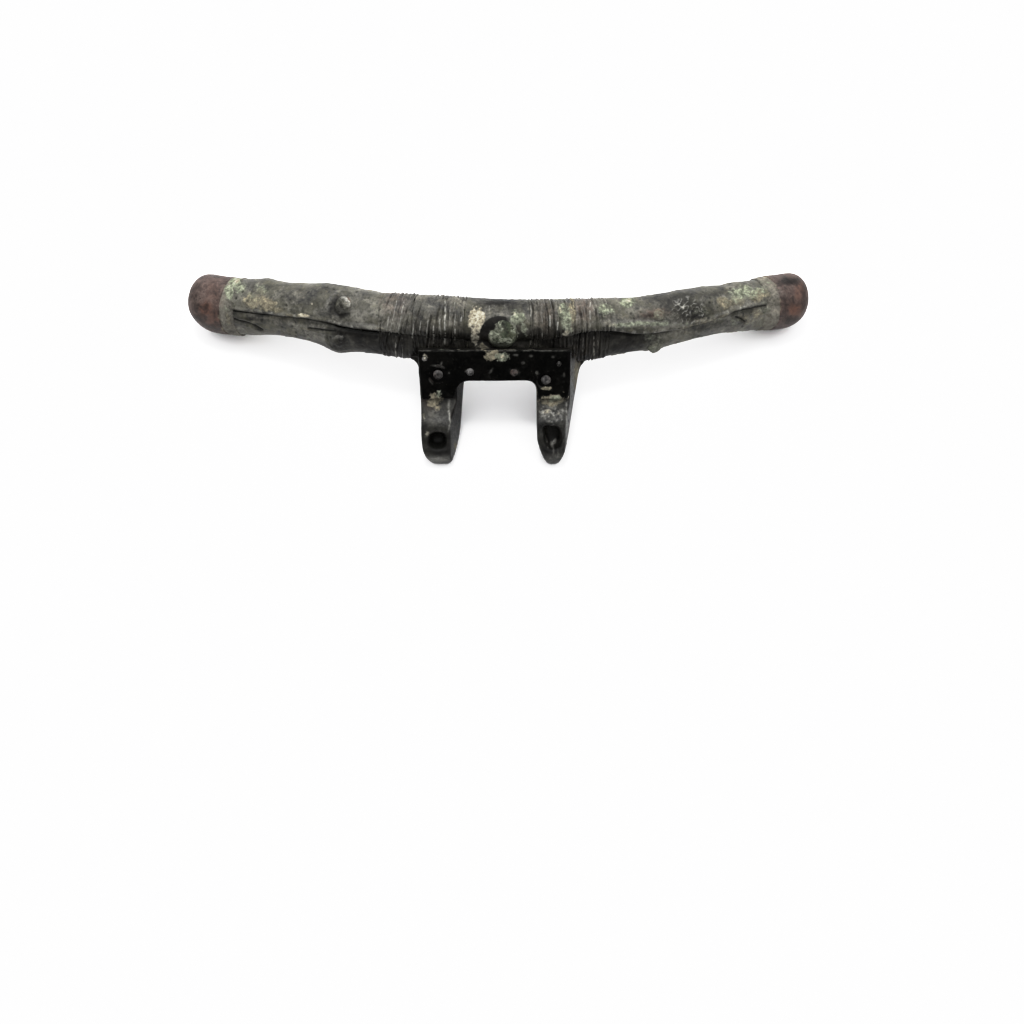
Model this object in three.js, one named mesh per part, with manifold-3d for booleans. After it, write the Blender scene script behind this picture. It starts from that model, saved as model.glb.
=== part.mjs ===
// Two-horned cleat in patinated bronze: a swept-back bar built from a top casting and two
// lower strips, held by wire bindings and copper end caps, standing on a two-legged bracket
// whose tang enters the bar's hub and is locked by a loose cross pin.
// Millimetres. The bar is drawn in its own upright frame (X along the horns, -Y the front,
// Z away from the feet) and the whole piece is then leaned back onto its horn tips and heels,
// which is how it lies by itself on a flat surface.
import * as THREE from "three";
import { mergeVertices } from "three/addons/utils/BufferGeometryUtils.js";
import Module from "manifold-3d";

// ---- driving dimensions -------------------------------------------------
const HALF = 48; // reference half length for the sweep law
const SWEEP = { left: 14.2, right: 14.87 }; // how far back the horns stand at that length
const SWEEP_POWER = 1.6;
// where the bronze ends, the collar sits and the cap begins, along the bar's own line
const END = {
  left: { body: 40.85, collar: [41.0, 42.55], cap: 42.65, spigot: 46.5, tip: 49.25, r: 4.7, z: -0.4 },
  right: { body: 41.15, collar: [41.3, 43.0], cap: 43.1, spigot: 46.5, tip: 48.95, r: 4.38, z: -0.15 },
};
const DOME = 5.0; // rounded part of each cap
const SPIGOT_R = 2.5;
const SPIGOT_Z = -0.3;
const AXIS_Z = -1.1; // height of the line the bar's outline is drawn round
const GAP = 0.1; // working gap between fitted pieces
const HUB = 4.5; // half length of the solid hub
const BINDINGS = {
  left_outer: [-17.7, -13.0],
  left_inner: [-12.4, -5.3],
  right_inner: [4.9, 9.6],
  right_outer: [10.6, 16.6],
};
const BAND_DEPTH = 0.5; // depth of the seat cut for a binding
const BAND_PITCH = 1.5; // ridge to ridge
const PIN = { x: 0.6, z: -0.92, r: 2.28, front: -4.0, back: 2.4 };
const PIN_CLEAR = 0.12; // radial clearance of the pin in tang and rear wall
const HOLE = { x: 0.1, z: -0.92, r: 2.9 }; // worn front hole
const TANG = { x0: -2.6, x1: 3.6, y: 1.6, top: 2.3 };
const PLATE = { x0: -12.4, x1: 11.2, top: -3.15, foot: -10.9, y0: -5.0, y1: -4.5 };
const BLOCK_FRONT = -4.4;
const CROTCH_Z = -8.05;
const LEAN = 39; // degrees the whole piece leans back when it lies by itself
const LIFT = 13.37; // height of the bar's centre over the surface in that pose
const SHIFT = [0.14, 1.55]; // puts the origin under the middle of the whole piece

// Section of the bar: [x, height of the upper lobe's centre, its radius, height of the seam
// at the front, half width of the lower strip, its depth].
const SECTION = [
  [-42.2, 0.51, 3.78, 0.01, 3.66, 5.03], [-38.6, 0.58, 3.75, -0.05, 3.55, 4.62],
  [-35, 0.62, 3.67, -0.08, 3.4, 4.24], [-30, 0.66, 3.76, -0.08, 3.4, 4.67],
  [-27, 0.63, 3.8, -0.31, 3.38, 4.98], [-24.8, 0.54, 3.82, -0.59, 3.32, 4.99],
  [-22.6, 0.4, 3.81, -1.01, 3.21, 4.73], [-17.8, 0.12, 3.76, -1.26, 3.17, 4.7],
  [-12.7, 0.19, 3.8, -1.58, 3.0, 4.5], [-9, 0.19, 3.8, -1.8, 2.88, 4.2],
  [-4.6, 0.1, 3.75, -1.99, 2.76, 4.1],
  [0, 0, 3.7, -2.09, 2.7, 4.21], [4.6, -0.1, 3.65, -2.09, 2.65, 4.22],
  [8.5, -0.2, 3.62, -1.95, 2.51, 4.43], [12.4, -0.32, 3.6, -1.17, 2.51, 5.34],
  [14.6, -0.4, 3.56, -1.09, 2.45, 5.36], [18, -0.46, 3.5, -1.52, 2.4, 4.55],
  [21, -0.5, 3.42, -2.11, 2.33, 3.66], [23.5, -0.41, 3.4, -2.3, 2.37, 3.27],
  [26, -0.19, 3.4, -2.08, 2.56, 3.22], [29, 0.01, 3.44, -1.58, 2.88, 3.27],
  [32, 0.13, 3.45, -0.89, 3.15, 3.44], [36, 0.23, 3.46, 0.13, 3.3, 4.2],
  [40.2, 0.33, 3.56, 0.62, 3.4, 4.84], [43.1, 0.34, 3.67, 0.6, 3.56, 4.93],
];
const ROUND = 22; // facets round the bar

// ---- boolean helpers ----------------------------------------------------
const wasm = await Module();
wasm.setup();

function solid(geometry) {
  const g = (geometry.index ? geometry.toNonIndexed() : geometry).clone();
  for (const name of Object.keys(g.attributes))
    if (name !== "position") g.deleteAttribute(name);
  const m = mergeVertices(g, 1e-4);
  const made = new wasm.Manifold(
    new wasm.Mesh({
      numProp: 3,
      vertProperties: new Float32Array(m.attributes.position.array),
      triVerts: new Uint32Array(m.index.array),
    }),
  );
  if (made.volume() < 0) throw new Error("inside-out geometry");
  return made;
}

function geometryOf(manifold) {
  const m = manifold.getMesh();
  const position = new Float32Array(m.numVert * 3);
  for (let i = 0; i < m.numVert; i++)
    position.set(m.vertProperties.subarray(i * m.numProp, i * m.numProp + 3), i * 3);
  const g = new THREE.BufferGeometry();
  g.setAttribute("position", new THREE.BufferAttribute(position, 3));
  g.setIndex(new THREE.BufferAttribute(new Uint32Array(m.triVerts), 1));
  const flat = g.toNonIndexed();
  flat.computeVertexNormals();
  return flat;
}

function box(x0, x1, y0, y1, z0, z1) {
  const g = new THREE.BoxGeometry(x1 - x0, y1 - y0, z1 - z0);
  g.translate((x0 + x1) / 2, (y0 + y1) / 2, (z0 + z1) / 2);
  return solid(g);
}

// A round pin along Y, between y0 and y1.
function pinY(x, z, r, y0, y1, facets = 20) {
  const g = new THREE.CylinderGeometry(r, r, y1 - y0, facets);
  g.translate(x, (y0 + y1) / 2, z);
  return solid(g);
}

// A turned piece whose axis is Y through (x, z). Profile points are [radius, y].
function turnedY(x, z, profile, facets = 20) {
  const g = new THREE.LatheGeometry(
    profile.map(([r, y]) => new THREE.Vector2(r, y)),
    facets,
  );
  g.translate(x, 0, z);
  return solid(g);
}

// Extrusion of an outline drawn in X and Z, running along Y from y0 to y1.
function plateXZ(shape, y0, y1, curveSegments = 6) {
  const g = new THREE.ExtrudeGeometry(shape, { depth: y1 - y0, bevelEnabled: false, curveSegments });
  g.rotateX(Math.PI / 2); // shape's y becomes z, depth runs along -y
  g.translate(0, y1, 0);
  return solid(g);
}

// Extrusion of an outline drawn in Y and Z, running along X from x0 to x1.
function plateYZ(shape, x0, x1, curveSegments = 6) {
  const g = new THREE.ExtrudeGeometry(shape, { depth: x1 - x0, bevelEnabled: false, curveSegments });
  g.rotateY(Math.PI / 2);
  g.rotateX(Math.PI / 2); // shape's x becomes y and its y becomes z
  g.translate(x0, 0, 0);
  return solid(g);
}

// Extrusion of an outline drawn in X and Y, running along Z from z0 to z1.
function prismXY(points, z0, z1) {
  const shape = new THREE.Shape(points.map(([x, y]) => new THREE.Vector2(x, y)));
  const g = new THREE.ExtrudeGeometry(shape, { depth: z1 - z0, bevelEnabled: false });
  g.translate(0, 0, z0);
  return solid(g);
}

// ---- the bar's line and section ----------------------------------------
const sweepOf = (x) => (x < 0 ? SWEEP.left : SWEEP.right);
const sweepY = (x) => sweepOf(x) * Math.pow(Math.abs(x) / HALF, SWEEP_POWER);
const sweepSlope = (x) =>
  (Math.sign(x) * sweepOf(x) * SWEEP_POWER * Math.pow(Math.abs(x) / HALF, SWEEP_POWER - 1)) / HALF;

// Section values at x: { z1, r1, seam, w, h }.
function section(x) {
  const t = Math.min(SECTION[SECTION.length - 1][0], Math.max(SECTION[0][0], x));
  let i = 0;
  while (i < SECTION.length - 2 && SECTION[i + 1][0] < t) i++;
  const [a, b] = [SECTION[i], SECTION[i + 1]];
  const k = (t - a[0]) / (b[0] - a[0]);
  const [, z1, r1, seam, w, h] = a.map((v, j) => v + (b[j] - v) * k);
  return { z1, r1, seam, w, h };
}

// Moves a point of the straight bar onto its swept line, square to it.
function bend(x, y, z) {
  const a = Math.atan(sweepSlope(x));
  return [x - y * Math.sin(a), sweepY(x) + y * Math.cos(a), z];
}

// Lofts contours along the bar: a capped CylinderGeometry whose rings are reshaped.
// stations is a list of [x, contour], contour(angle) -> [y, z].
function loft(stations, facets = ROUND, warp = bend) {
  const rows = stations.length - 1;
  const g = new THREE.CylinderGeometry(1, 1, rows, facets, rows, false).toNonIndexed();
  const p = g.attributes.position;
  for (let i = 0; i < p.count; i++) {
    const row = Math.round(p.getY(i) + rows / 2);
    const rim = Math.hypot(p.getX(i), p.getZ(i)) > 0.5;
    const [x, contour] = stations[row];
    const step = (Math.PI * 2) / facets;
    const angle = Math.round(Math.atan2(p.getX(i), p.getZ(i)) / step) * step;
    let y, z;
    if (rim) [y, z] = contour(-angle);
    else {
      // the fan's centre is the mean of the ring
      y = z = 0;
      for (let k = 0; k < facets; k++) {
        const [yy, zz] = contour(k * step);
        y += yy / facets;
        z += zz / facets;
      }
    }
    p.setXYZ(i, ...warp(x, y, z));
  }
  return solid(g);
}

const circle = (r, zc, squash = 1) => (a) => [r * Math.sin(a), zc + r * squash * Math.cos(a)];

// Outline round both lobes, grown by d: the farther of the two along each ray from the axis.
function hullContour(x, d) {
  const { z1, r1, seam, w, h } = section(x);
  return (a) => {
    const dy = Math.sin(a), dz = Math.cos(a);
    const k = dz * (z1 - AXIS_Z);
    const upper = k + Math.sqrt(r1 * r1 - (z1 - AXIS_Z) ** 2 + k * k);
    const o = (AXIS_Z - seam + GAP) / h;
    const A = (dy / w) ** 2 + (dz / h) ** 2, B = (o * dz) / h;
    let lower = (-B + Math.sqrt(Math.max(B * B - A * (o * o - 1), 0))) / A;
    if (AXIS_Z + lower * dz > seam - GAP) lower = 0;
    const R = Math.max(upper, lower) + d;
    return [R * dy, AXIS_Z + R * dz];
  };
}
// the upper lobe is round and flat underneath; the strip is the lower half of an ellipse
function upperLobe(x) {
  const { z1, r1, seam } = section(x);
  return (a) => [r1 * Math.sin(a), Math.max(z1 + r1 * Math.cos(a), seam)];
}
function lowerLobe(x) {
  const { seam, w, h } = section(x);
  return (a) => [w * Math.sin(a), seam - GAP + h * Math.min(0, Math.cos(a))];
}

const range = (a, b, n) => Array.from({ length: n + 1 }, (_, i) => a + ((b - a) * i) / n);
const hull = (x0, x1, d, n) => loft(range(x0, x1, n).map((x) => [x, hullContour(x, d)]));

// ---- bodies of the bar --------------------------------------------------
// Both ends of the bar step down to a round spigot for the collar and the cap. The seam
// runs on through it, so each half carries half of the spigot.
function spigotted(lobe, xs, left, right) {
  const top = lobe === upperLobe;
  const spigot = (a) => {
    const z = SPIGOT_Z + SPIGOT_R * Math.cos(a);
    return [SPIGOT_R * Math.sin(a), top ? Math.max(z, SPIGOT_Z + GAP) : Math.min(z, SPIGOT_Z)];
  };
  const stations = xs.map((x) => [x, lobe(x)]);
  if (left) stations.unshift([-END.left.spigot, spigot], [-END.left.body - 0.03, spigot]);
  if (right) stations.push([END.right.body + 0.03, spigot], [END.right.spigot, spigot]);
  return loft(stations);
}
const BAR_X = [
  -END.left.body,
  ...SECTION.map(([x]) => x).filter((x) => x > 0.4 - END.left.body && x < END.right.body - 0.4),
  END.right.body,
];

const seatOf = ([x0, x1]) =>
  hull(x0 - GAP, x1 + GAP, 0.9, 3).subtract(hull(x0 - 1, x1 + 1, -BAND_DEPTH - GAP, 4));
let seats = null;
for (const band of Object.values(BINDINGS)) seats = seats ? seats.add(seatOf(band)) : seatOf(band);

// top casting: upper lobe, solid hub, slot for the tang, hole for the pin
let barTop = spigotted(upperLobe, BAR_X, true, true);
barTop = barTop.add(hull(-HUB, HUB, 0, 3)).subtract(seats);
barTop = barTop.subtract(box(TANG.x0 - GAP, TANG.x1 + GAP, -TANG.y - GAP, TANG.y + GAP, -20, TANG.top + GAP));
barTop = barTop.subtract(pinY(PIN.x, PIN.z, PIN.r + PIN_CLEAR, -1, PIN.back + PIN_CLEAR));
barTop = barTop.subtract(pinY(HOLE.x, HOLE.z, HOLE.r, -12, -TANG.y, 24));

// lower strips: one under each horn, from the hub to the cap
function lowerStrip(side) {
  const xs = BAR_X.filter((x) => x * side > HUB + 0.5 && x > 0.5 - END.left.body && x < END.right.body - 0.5);
  if (side > 0) xs.unshift(HUB + GAP), xs.push(END.right.body - GAP);
  else xs.unshift(-END.left.body + GAP), xs.push(-HUB - GAP);
  return spigotted(lowerLobe, xs, side < 0, side > 0).subtract(seats);
}

// bindings: ridged wire bands seated round both
function binding([x0, x1]) {
  const n = 2 * Math.round((x1 - x0) / BAND_PITCH);
  const lobed = range(x0, x1, n).map((x, i) => [x, hullContour(x, i % 2 ? 0.22 : -0.05)]);
  return loft(lobed, 18).subtract(hull(x0 - 1, x1 + 1, -BAND_DEPTH, 4));
}

// the straight-sided part shared by collars and caps, along the bar's own line
function ringLoft(side, law, zc, facets) {
  const stations = law.map(([x, r]) => [side * x, circle(r, zc)]);
  if (side < 0) stations.reverse();
  return loft(stations, facets);
}
const socketFor = (side, x0, x1) => ringLoft(side, [[x0, SPIGOT_R + GAP], [x1, SPIGOT_R + GAP]], SPIGOT_Z);

// collars: pale rings between the bar's shoulders and the caps
function collar(side) {
  const e = side < 0 ? END.left : END.right;
  const [a, b] = e.collar;
  const ring = ringLoft(side, [[a, e.r - 0.35], [a + 0.5, e.r - 0.05], [b - 0.3, e.r + 0.02], [b, e.r - 0.1]], e.z);
  return ring.subtract(socketFor(side, a - 1, b + 1));
}

// end caps: copper domes with a socket over the spigot
function endCap(side) {
  const e = side < 0 ? END.left : END.right;
  const law = [[0.28, 1.0], [0.55, 0.97], [0.76, 0.885], [0.9, 0.75], [0.975, 0.56], [1, 0.3]];
  const rings = [[e.cap, 0.985 * e.r], [e.cap + 0.5, e.r], ...law.map(([t, k]) => [e.tip - (1 - t) * DOME, k * e.r])];
  const dome = ringLoft(side, rings, e.z);
  return dome.subtract(socketFor(side, e.cap - 1, e.spigot + 0.15));
}

// ---- bracket ------------------------------------------------------------
// front outline: shoulders flaring under the bar, two legs, open crotch
const front = new THREE.Shape();
front.moveTo(-12.3, -3.2);
front.lineTo(-12.3, -4.4);
front.lineTo(-13.7, -4.6);
front.lineTo(-13.7, -5.35);
front.quadraticCurveTo(-12.5, -5.6, -12.3, -7.6);
front.lineTo(-12.0, -13.5);
front.lineTo(-12.0, -17.2);
front.quadraticCurveTo(-11.9, -20.1, -9.6, -21.9);
front.lineTo(-8.2, -21.9);
front.quadraticCurveTo(-6.5, -20.4, -6.0, -16.4);
front.lineTo(-5.5, -9.8);
front.quadraticCurveTo(-5.4, CROTCH_Z, -3.9, CROTCH_Z);
front.lineTo(4.4, CROTCH_Z);
front.quadraticCurveTo(5.8, CROTCH_Z, 5.95, -10.0);
front.lineTo(6.0, -17.0);
front.quadraticCurveTo(6.4, -18.9, 7.9, -21.9);
front.lineTo(9.0, -21.9);
front.quadraticCurveTo(10.6, -19.2, 11.2, -15.3);
front.lineTo(12.5, -9.0);
front.quadraticCurveTo(13.1, -6.6, 15.6, -6.1);
front.lineTo(15.6, -4.8);
front.quadraticCurveTo(13.9, -5.0, 12.8, -4.4);
front.lineTo(12.8, -3.2);
front.closePath();

// side outline: front wall, sloped toe, rounded foot, heel, back
const side = new THREE.Shape();
side.moveTo(BLOCK_FRONT, -3.2);
side.lineTo(BLOCK_FRONT, -11.4);
side.lineTo(-6.8, -13.3);
side.quadraticCurveTo(-7.7, -14.0, -7.7, -15.2);
side.lineTo(-7.7, -18.4);
side.quadraticCurveTo(-7.5, -20.7, -5.2, -21.5);
side.lineTo(-4.0, -21.6);
side.lineTo(-0.6, -19.2);
side.quadraticCurveTo(0.6, -17.6, 0.9, -16.0);
side.lineTo(1.9, -11.6);
side.quadraticCurveTo(2.3, -10.0, 4.3, -9.3);
side.lineTo(4.3, -4.9);
side.lineTo(1.0, -3.2);
side.closePath();

const trough = hull(-21, 21, 0.34, 12);
const behindBar = box(-20, 20, -3, 8, -4.9, 0);
let bracket = plateXZ(front, -9, 6, 4).intersect(plateYZ(side, -17, 17.5, 4));
bracket = bracket.subtract(trough).subtract(behindBar);
bracket = bracket.subtract(box(-20, -12.4, -9, -2.0, -8, 0)); // left shoulder set back under the bar
// bevels down the +X faces of both legs
bracket = bracket.subtract(prismXY([[-8.0, -9], [-4.8, -9], [-4.8, 0.8]], -24, CROTCH_Z + 0.01));
bracket = bracket.subtract(prismXY([[10.05, -9], [18, -9], [18, 2.6], [12.8, 2.6]], -24, -3));
// flat soles, level with the horn tips when the piece lies by itself
const under = new THREE.BoxGeometry(60, 60, 20);
under.translate(0, 0, -10 - LIFT);
under.rotateX(THREE.MathUtils.degToRad(LEAN));
bracket = bracket.subtract(solid(under));
// tang into the hub
bracket = bracket.add(box(TANG.x0, TANG.x1, -TANG.y, TANG.y, -7.0, TANG.top));
bracket = bracket.subtract(pinY(PIN.x, PIN.z, PIN.r + PIN_CLEAR, -3, 3));
// blind sockets in the toes, funnelled and worn out of square
function funnel(points, depth) {
  const cx = points.reduce((t, q) => t + q[0], 0) / points.length;
  const cz = points.reduce((t, q) => t + q[1], 0) / points.length;
  const shape = new THREE.Shape(points.map(([x, z]) => new THREE.Vector2(x, z)));
  return plateXZ(shape, -9, depth, 1).warp((v) => {
    const k = 1 + ((v[1] - depth) / (-7.7 - depth) - 1) * 0.3; // full size at the toe's face
    v[0] = cx + (v[0] - cx) * k;
    v[2] = cz + (v[2] - cz) * k;
  });
}
bracket = bracket.subtract(funnel([[-10.8, -15.9], [-10.2, -15.6], [-8.6, -15.6], [-8.05, -16.0], [-8.0, -17.8], [-8.6, -18.4], [-10.3, -18.45], [-10.9, -17.8]], -5.3));
bracket = bracket.subtract(funnel([[6.75, -14.3], [7.7, -14.6], [9.2, -14.5], [9.9, -15.2], [9.85, -17.2], [9.5, -18.4], [8.4, -18.75], [7.5, -18.2], [6.95, -16.6]], -5.3));

// ---- facing plate and its fasteners ------------------------------------
const LEG_RIVETS = { left: [-9.37, -7.0], right: [7.35, -7.85] };
const WEB_RIVETS = { left: [-4.4, -6.55], right: [2.4, -6.65] };
const CORNER_PINS = { left: [-11.4, -4.45], right: [9.4, -5.25] };

const face = new THREE.Shape();
face.moveTo(PLATE.x0, PLATE.top);
face.lineTo(-12.1, -8.7);
face.lineTo(-11.9, PLATE.foot);
face.lineTo(-7.0, PLATE.foot);
face.lineTo(-6.6, -9.8);
face.quadraticCurveTo(-6.3, -8.1, -4.6, -8.0);
face.lineTo(4.4, -8.0);
face.quadraticCurveTo(6.0, -8.1, 6.1, -10.0);
face.lineTo(6.2, PLATE.foot);
face.lineTo(10.75, PLATE.foot);
face.lineTo(PLATE.x1 - 0.1, -8.7);
face.lineTo(PLATE.x1, PLATE.top);
face.closePath();
let facing = plateXZ(face, PLATE.y0, PLATE.y1, 4);
function drill(list, r, to) {
  for (const [x, z] of Object.values(list)) {
    facing = facing.subtract(pinY(x, z, r, -6, -4, 12));
    bracket = bracket.subtract(pinY(x, z, r, -6, to, 12));
  }
}
drill(LEG_RIVETS, 0.8, 9);
drill(WEB_RIVETS, 0.55, -2.4);
drill(CORNER_PINS, 0.42, -3.2);

// rivet with a low dome at the front, and a peened head behind when backY is given
function rivet([x, z], r, headR, shankEnd, backHead) {
  const f = PLATE.y0 - 0.06;
  const profile = [[0, f - 0.42], [headR * 0.55, f - 0.36], [headR, f - 0.02], [headR, f], [r, f], [r, shankEnd]];
  if (backHead) profile.push([r * 1.7, shankEnd], [r * 1.5, shankEnd + 0.4], [0, shankEnd + 0.5]);
  else profile.push([0, shankEnd]);
  return turnedY(x, z, profile, 12);
}
const roveOf = ([x, z]) => {
  const f = PLATE.y0 - 0.05;
  return turnedY(x, z, [[1.2, f], [1.2, f - 0.1], [1.32, f - 0.26], [1.58, f - 0.24], [1.68, f - 0.04], [1.68, f], [1.2, f]], 16);
};

// ---- eye studs on the horns --------------------------------------------
// Each is a mushroom-headed stud in a drilled socket, its axis square to the swept bar.
const STUDS = {
  left_upper: { x: -23.2, z: 2.45, r: 1.45 },
  left_lower: { x: -24.3, z: -2.95, r: 1.35 },
  right_upper: { x: 24.0, z: 0.75, r: 1.05 },
  right_lower: { x: 24.1, z: -4.75, r: 1.2 },
};
function stud({ x, z, r }, socket) {
  const { z1, r1, seam, w, h } = section(x);
  const [a, b, zc] = z > seam ? [r1, r1, z1] : [w, h, seam - GAP];
  const s = (z - zc) / b, c = Math.sqrt(1 - s * s);
  const profile = socket
    ? [[0, -1.3], [r * 0.55 + GAP, -1.3], [r * 0.55 + GAP, 0.3], [0, 0.3]]
    : [[0, -1.2], [r * 0.55, -1.2], [r * 0.55, 0.1], [r, 0.1], [r * 0.95, 0.38], [r * 0.6, 0.68], [0, 0.78]];
  const g = new THREE.LatheGeometry(profile.map(([a, b]) => new THREE.Vector2(a, b)), 12);
  const out = new THREE.Vector3(0, -c / a, s / b).normalize();
  g.applyQuaternion(new THREE.Quaternion().setFromUnitVectors(new THREE.Vector3(0, 1, 0), out));
  g.rotateZ(Math.atan(sweepSlope(x)));
  g.translate(...bend(x, -a * c, z));
  return solid(g);
}
let stripLeft = lowerStrip(-1).subtract(stud(STUDS.left_lower, true));
let stripRight = lowerStrip(1).subtract(stud(STUDS.right_lower, true));
barTop = barTop.subtract(stud(STUDS.left_upper, true)).subtract(stud(STUDS.right_upper, true));

// cross pin: plain round, domed and worn at the front
const crossPin = turnedY(PIN.x, PIN.z, [[0, PIN.front], [1.2, PIN.front + 0.12], [1.9, PIN.front + 0.42], [PIN.r, PIN.front + 0.85], [PIN.r, PIN.back - 0.2], [PIN.r - 0.25, PIN.back], [0, PIN.back]], 20);

// ---- materials ----------------------------------------------------------
const material = (color, roughness, metalness) => new THREE.MeshStandardMaterial({ color, roughness, metalness });
const greyBronze = material(0x4a4a44, 0.55, 0.6);
const darkBronze = material(0x1d1b1a, 0.4, 0.6);
const copper = material(0x5c4038, 0.6, 0.5);
const pale = material(0x8f8878, 0.75, 0.2);
const verdigris = material(0x5d6b56, 0.85, 0.1);

const pieces = [
  ["bar_top", barTop, greyBronze],
  ["lower_strip_left", stripLeft, greyBronze],
  ["lower_strip_right", stripRight, greyBronze],
  ["collar_left", collar(-1), pale],
  ["collar_right", collar(1), pale],
  ["end_cap_left", endCap(-1), copper],
  ["end_cap_right", endCap(1), copper],
  ["binding_left_outer", binding(BINDINGS.left_outer), greyBronze],
  ["binding_left_inner", binding(BINDINGS.left_inner), greyBronze],
  ["binding_right_inner", binding(BINDINGS.right_inner), greyBronze],
  ["binding_right_outer", binding(BINDINGS.right_outer), greyBronze],
  ["bracket", bracket, darkBronze],
  ["facing_plate", facing, darkBronze],
  ["cross_pin", crossPin, verdigris],
  ["leg_rivet_left", rivet(LEG_RIVETS.left, 0.7, 0.8, 4.36, true), darkBronze],
  ["leg_rivet_right", rivet(LEG_RIVETS.right, 0.7, 0.8, 4.36, true), darkBronze],
  ["leg_rove_left", roveOf(LEG_RIVETS.left), darkBronze],
  ["leg_rove_right", roveOf(LEG_RIVETS.right), darkBronze],
  ["web_rivet_left", rivet(WEB_RIVETS.left, 0.45, 0.62, -2.5, false), darkBronze],
  ["web_rivet_right", rivet(WEB_RIVETS.right, 0.45, 0.62, -2.5, false), darkBronze],
  ["corner_pin_left", rivet(CORNER_PINS.left, 0.33, 0.45, -3.3, false), darkBronze],
  ["corner_pin_right", rivet(CORNER_PINS.right, 0.33, 0.45, -3.3, false), darkBronze],
  ["eye_stud_left_upper", stud(STUDS.left_upper, false), greyBronze],
  ["eye_stud_left_lower", stud(STUDS.left_lower, false), greyBronze],
  ["eye_stud_right_upper", stud(STUDS.right_upper, false), greyBronze],
  ["eye_stud_right_lower", stud(STUDS.right_lower, false), greyBronze],
];

// ---- scene graph --------------------------------------------------------
const cleat = new THREE.Group();
const leaned = new THREE.Group();
leaned.rotation.x = THREE.MathUtils.degToRad(-LEAN);
leaned.position.set(SHIFT[0], SHIFT[1], LIFT);
cleat.add(leaned);
for (const [name, made, mat] of pieces) {
  const mesh = new THREE.Mesh(geometryOf(made), mat);
  mesh.name = name;
  leaned.add(mesh);
}

export default cleat;
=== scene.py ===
# Two-horned bronze cleat: high-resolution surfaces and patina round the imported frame.
import math
import bpy
import numpy as np
from mathutils import Matrix, Vector


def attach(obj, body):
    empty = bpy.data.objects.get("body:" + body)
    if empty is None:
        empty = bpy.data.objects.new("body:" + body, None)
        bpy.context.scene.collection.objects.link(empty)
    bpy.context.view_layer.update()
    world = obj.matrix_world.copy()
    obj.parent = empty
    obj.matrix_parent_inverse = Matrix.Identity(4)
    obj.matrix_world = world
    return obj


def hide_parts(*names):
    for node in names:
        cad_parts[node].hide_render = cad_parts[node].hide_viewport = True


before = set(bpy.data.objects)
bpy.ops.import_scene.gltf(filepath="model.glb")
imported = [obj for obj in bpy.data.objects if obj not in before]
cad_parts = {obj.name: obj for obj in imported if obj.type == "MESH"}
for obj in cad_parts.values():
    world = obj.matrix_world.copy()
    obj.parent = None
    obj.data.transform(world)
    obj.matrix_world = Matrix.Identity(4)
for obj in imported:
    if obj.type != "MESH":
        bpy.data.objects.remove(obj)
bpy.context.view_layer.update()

# ------------------------------------------------------------------ own frame
# The bar's own frame is in millimetres: X along the horns, -Y the front, Z away from the
# feet. The row frame leans it back by LEAN and lifts it onto its tips and soles.
LEAN = math.radians(39.0)
CB, SB = math.cos(LEAN), math.sin(LEAN)
OFF = np.array([0.14, 1.55, 13.37])


def to_row(p):
    p = np.asarray(p, float)
    return (np.stack([p[:, 0], p[:, 1] * CB + p[:, 2] * SB, -p[:, 1] * SB + p[:, 2] * CB], 1) + OFF) / 1000.0


def to_own(w):
    q = np.asarray(w, float) * 1000.0 - OFF
    return np.stack([q[:, 0], q[:, 1] * CB - q[:, 2] * SB, q[:, 1] * SB + q[:, 2] * CB], 1)


# ------------------------------------------------------------------ noise
RNG = np.random.RandomState(7)
_G = RNG.normal(size=(256, 3))
_G /= np.linalg.norm(_G, axis=1)[:, None]


def _hash(i, j, k, seed):
    with np.errstate(over="ignore"):
        h = (i.astype(np.uint32) * np.uint32(0x8DA6B343)) ^ (j.astype(np.uint32) * np.uint32(0xD8163841)) ^ (k.astype(np.uint32) * np.uint32(0xCB1AB31F))
        h ^= np.uint32((seed * 2654435761) & 0xFFFFFFFF)
        h ^= h >> np.uint32(13)
        h *= np.uint32(0x5BD1E995)
        h ^= h >> np.uint32(15)
    return h


def perlin(p, size, seed=0):
    """Gradient noise, about -1 to 1, with features of that size in mm."""
    q = p / size + 517.3
    f = np.floor(q)
    t = (q - f)
    i = f.astype(np.int64)
    w = t * t * t * (t * (t * 6 - 15) + 10)
    out = np.zeros(len(p))
    for a in (0, 1):
        for b in (0, 1):
            for c in (0, 1):
                h = _hash(i[:, 0] + a, i[:, 1] + b, i[:, 2] + c, seed) & np.uint32(255)
                g = _G[h]
                d = t - np.array([a, b, c])
                v = (g * d).sum(1)
                ww = (w[:, 0] if a else 1 - w[:, 0]) * (w[:, 1] if b else 1 - w[:, 1]) * (w[:, 2] if c else 1 - w[:, 2])
                out += v * ww
    return out * 1.6


def fbm(p, size, octaves=4, seed=0, gain=0.5):
    s = np.zeros(len(p)); a = 1.0; n = 0.0
    for o in range(octaves):
        s += a * perlin(p, size / 2 ** o, seed + 17 * o)
        n += a
        a *= gain
    return s / n * 1.35


def cells(p, size, seed=0):
    """Distance to the nearest scattered point, in units of size."""
    q = p / size + 311.7
    f = np.floor(q)
    i = f.astype(np.int64)
    best = np.full(len(p), 9.0)
    for a in (-1, 0, 1):
        for b in (-1, 0, 1):
            for c in (-1, 0, 1):
                h = _hash(i[:, 0] + a, i[:, 1] + b, i[:, 2] + c, seed)
                r = np.stack([(h & np.uint32(1023)), ((h >> np.uint32(10)) & np.uint32(1023)), ((h >> np.uint32(20)) & np.uint32(1023))], 1) / 1023.0
                d = q - (f + np.array([a, b, c]) + r)
                best = np.minimum(best, (d * d).sum(1))
    return np.sqrt(best)


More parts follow.
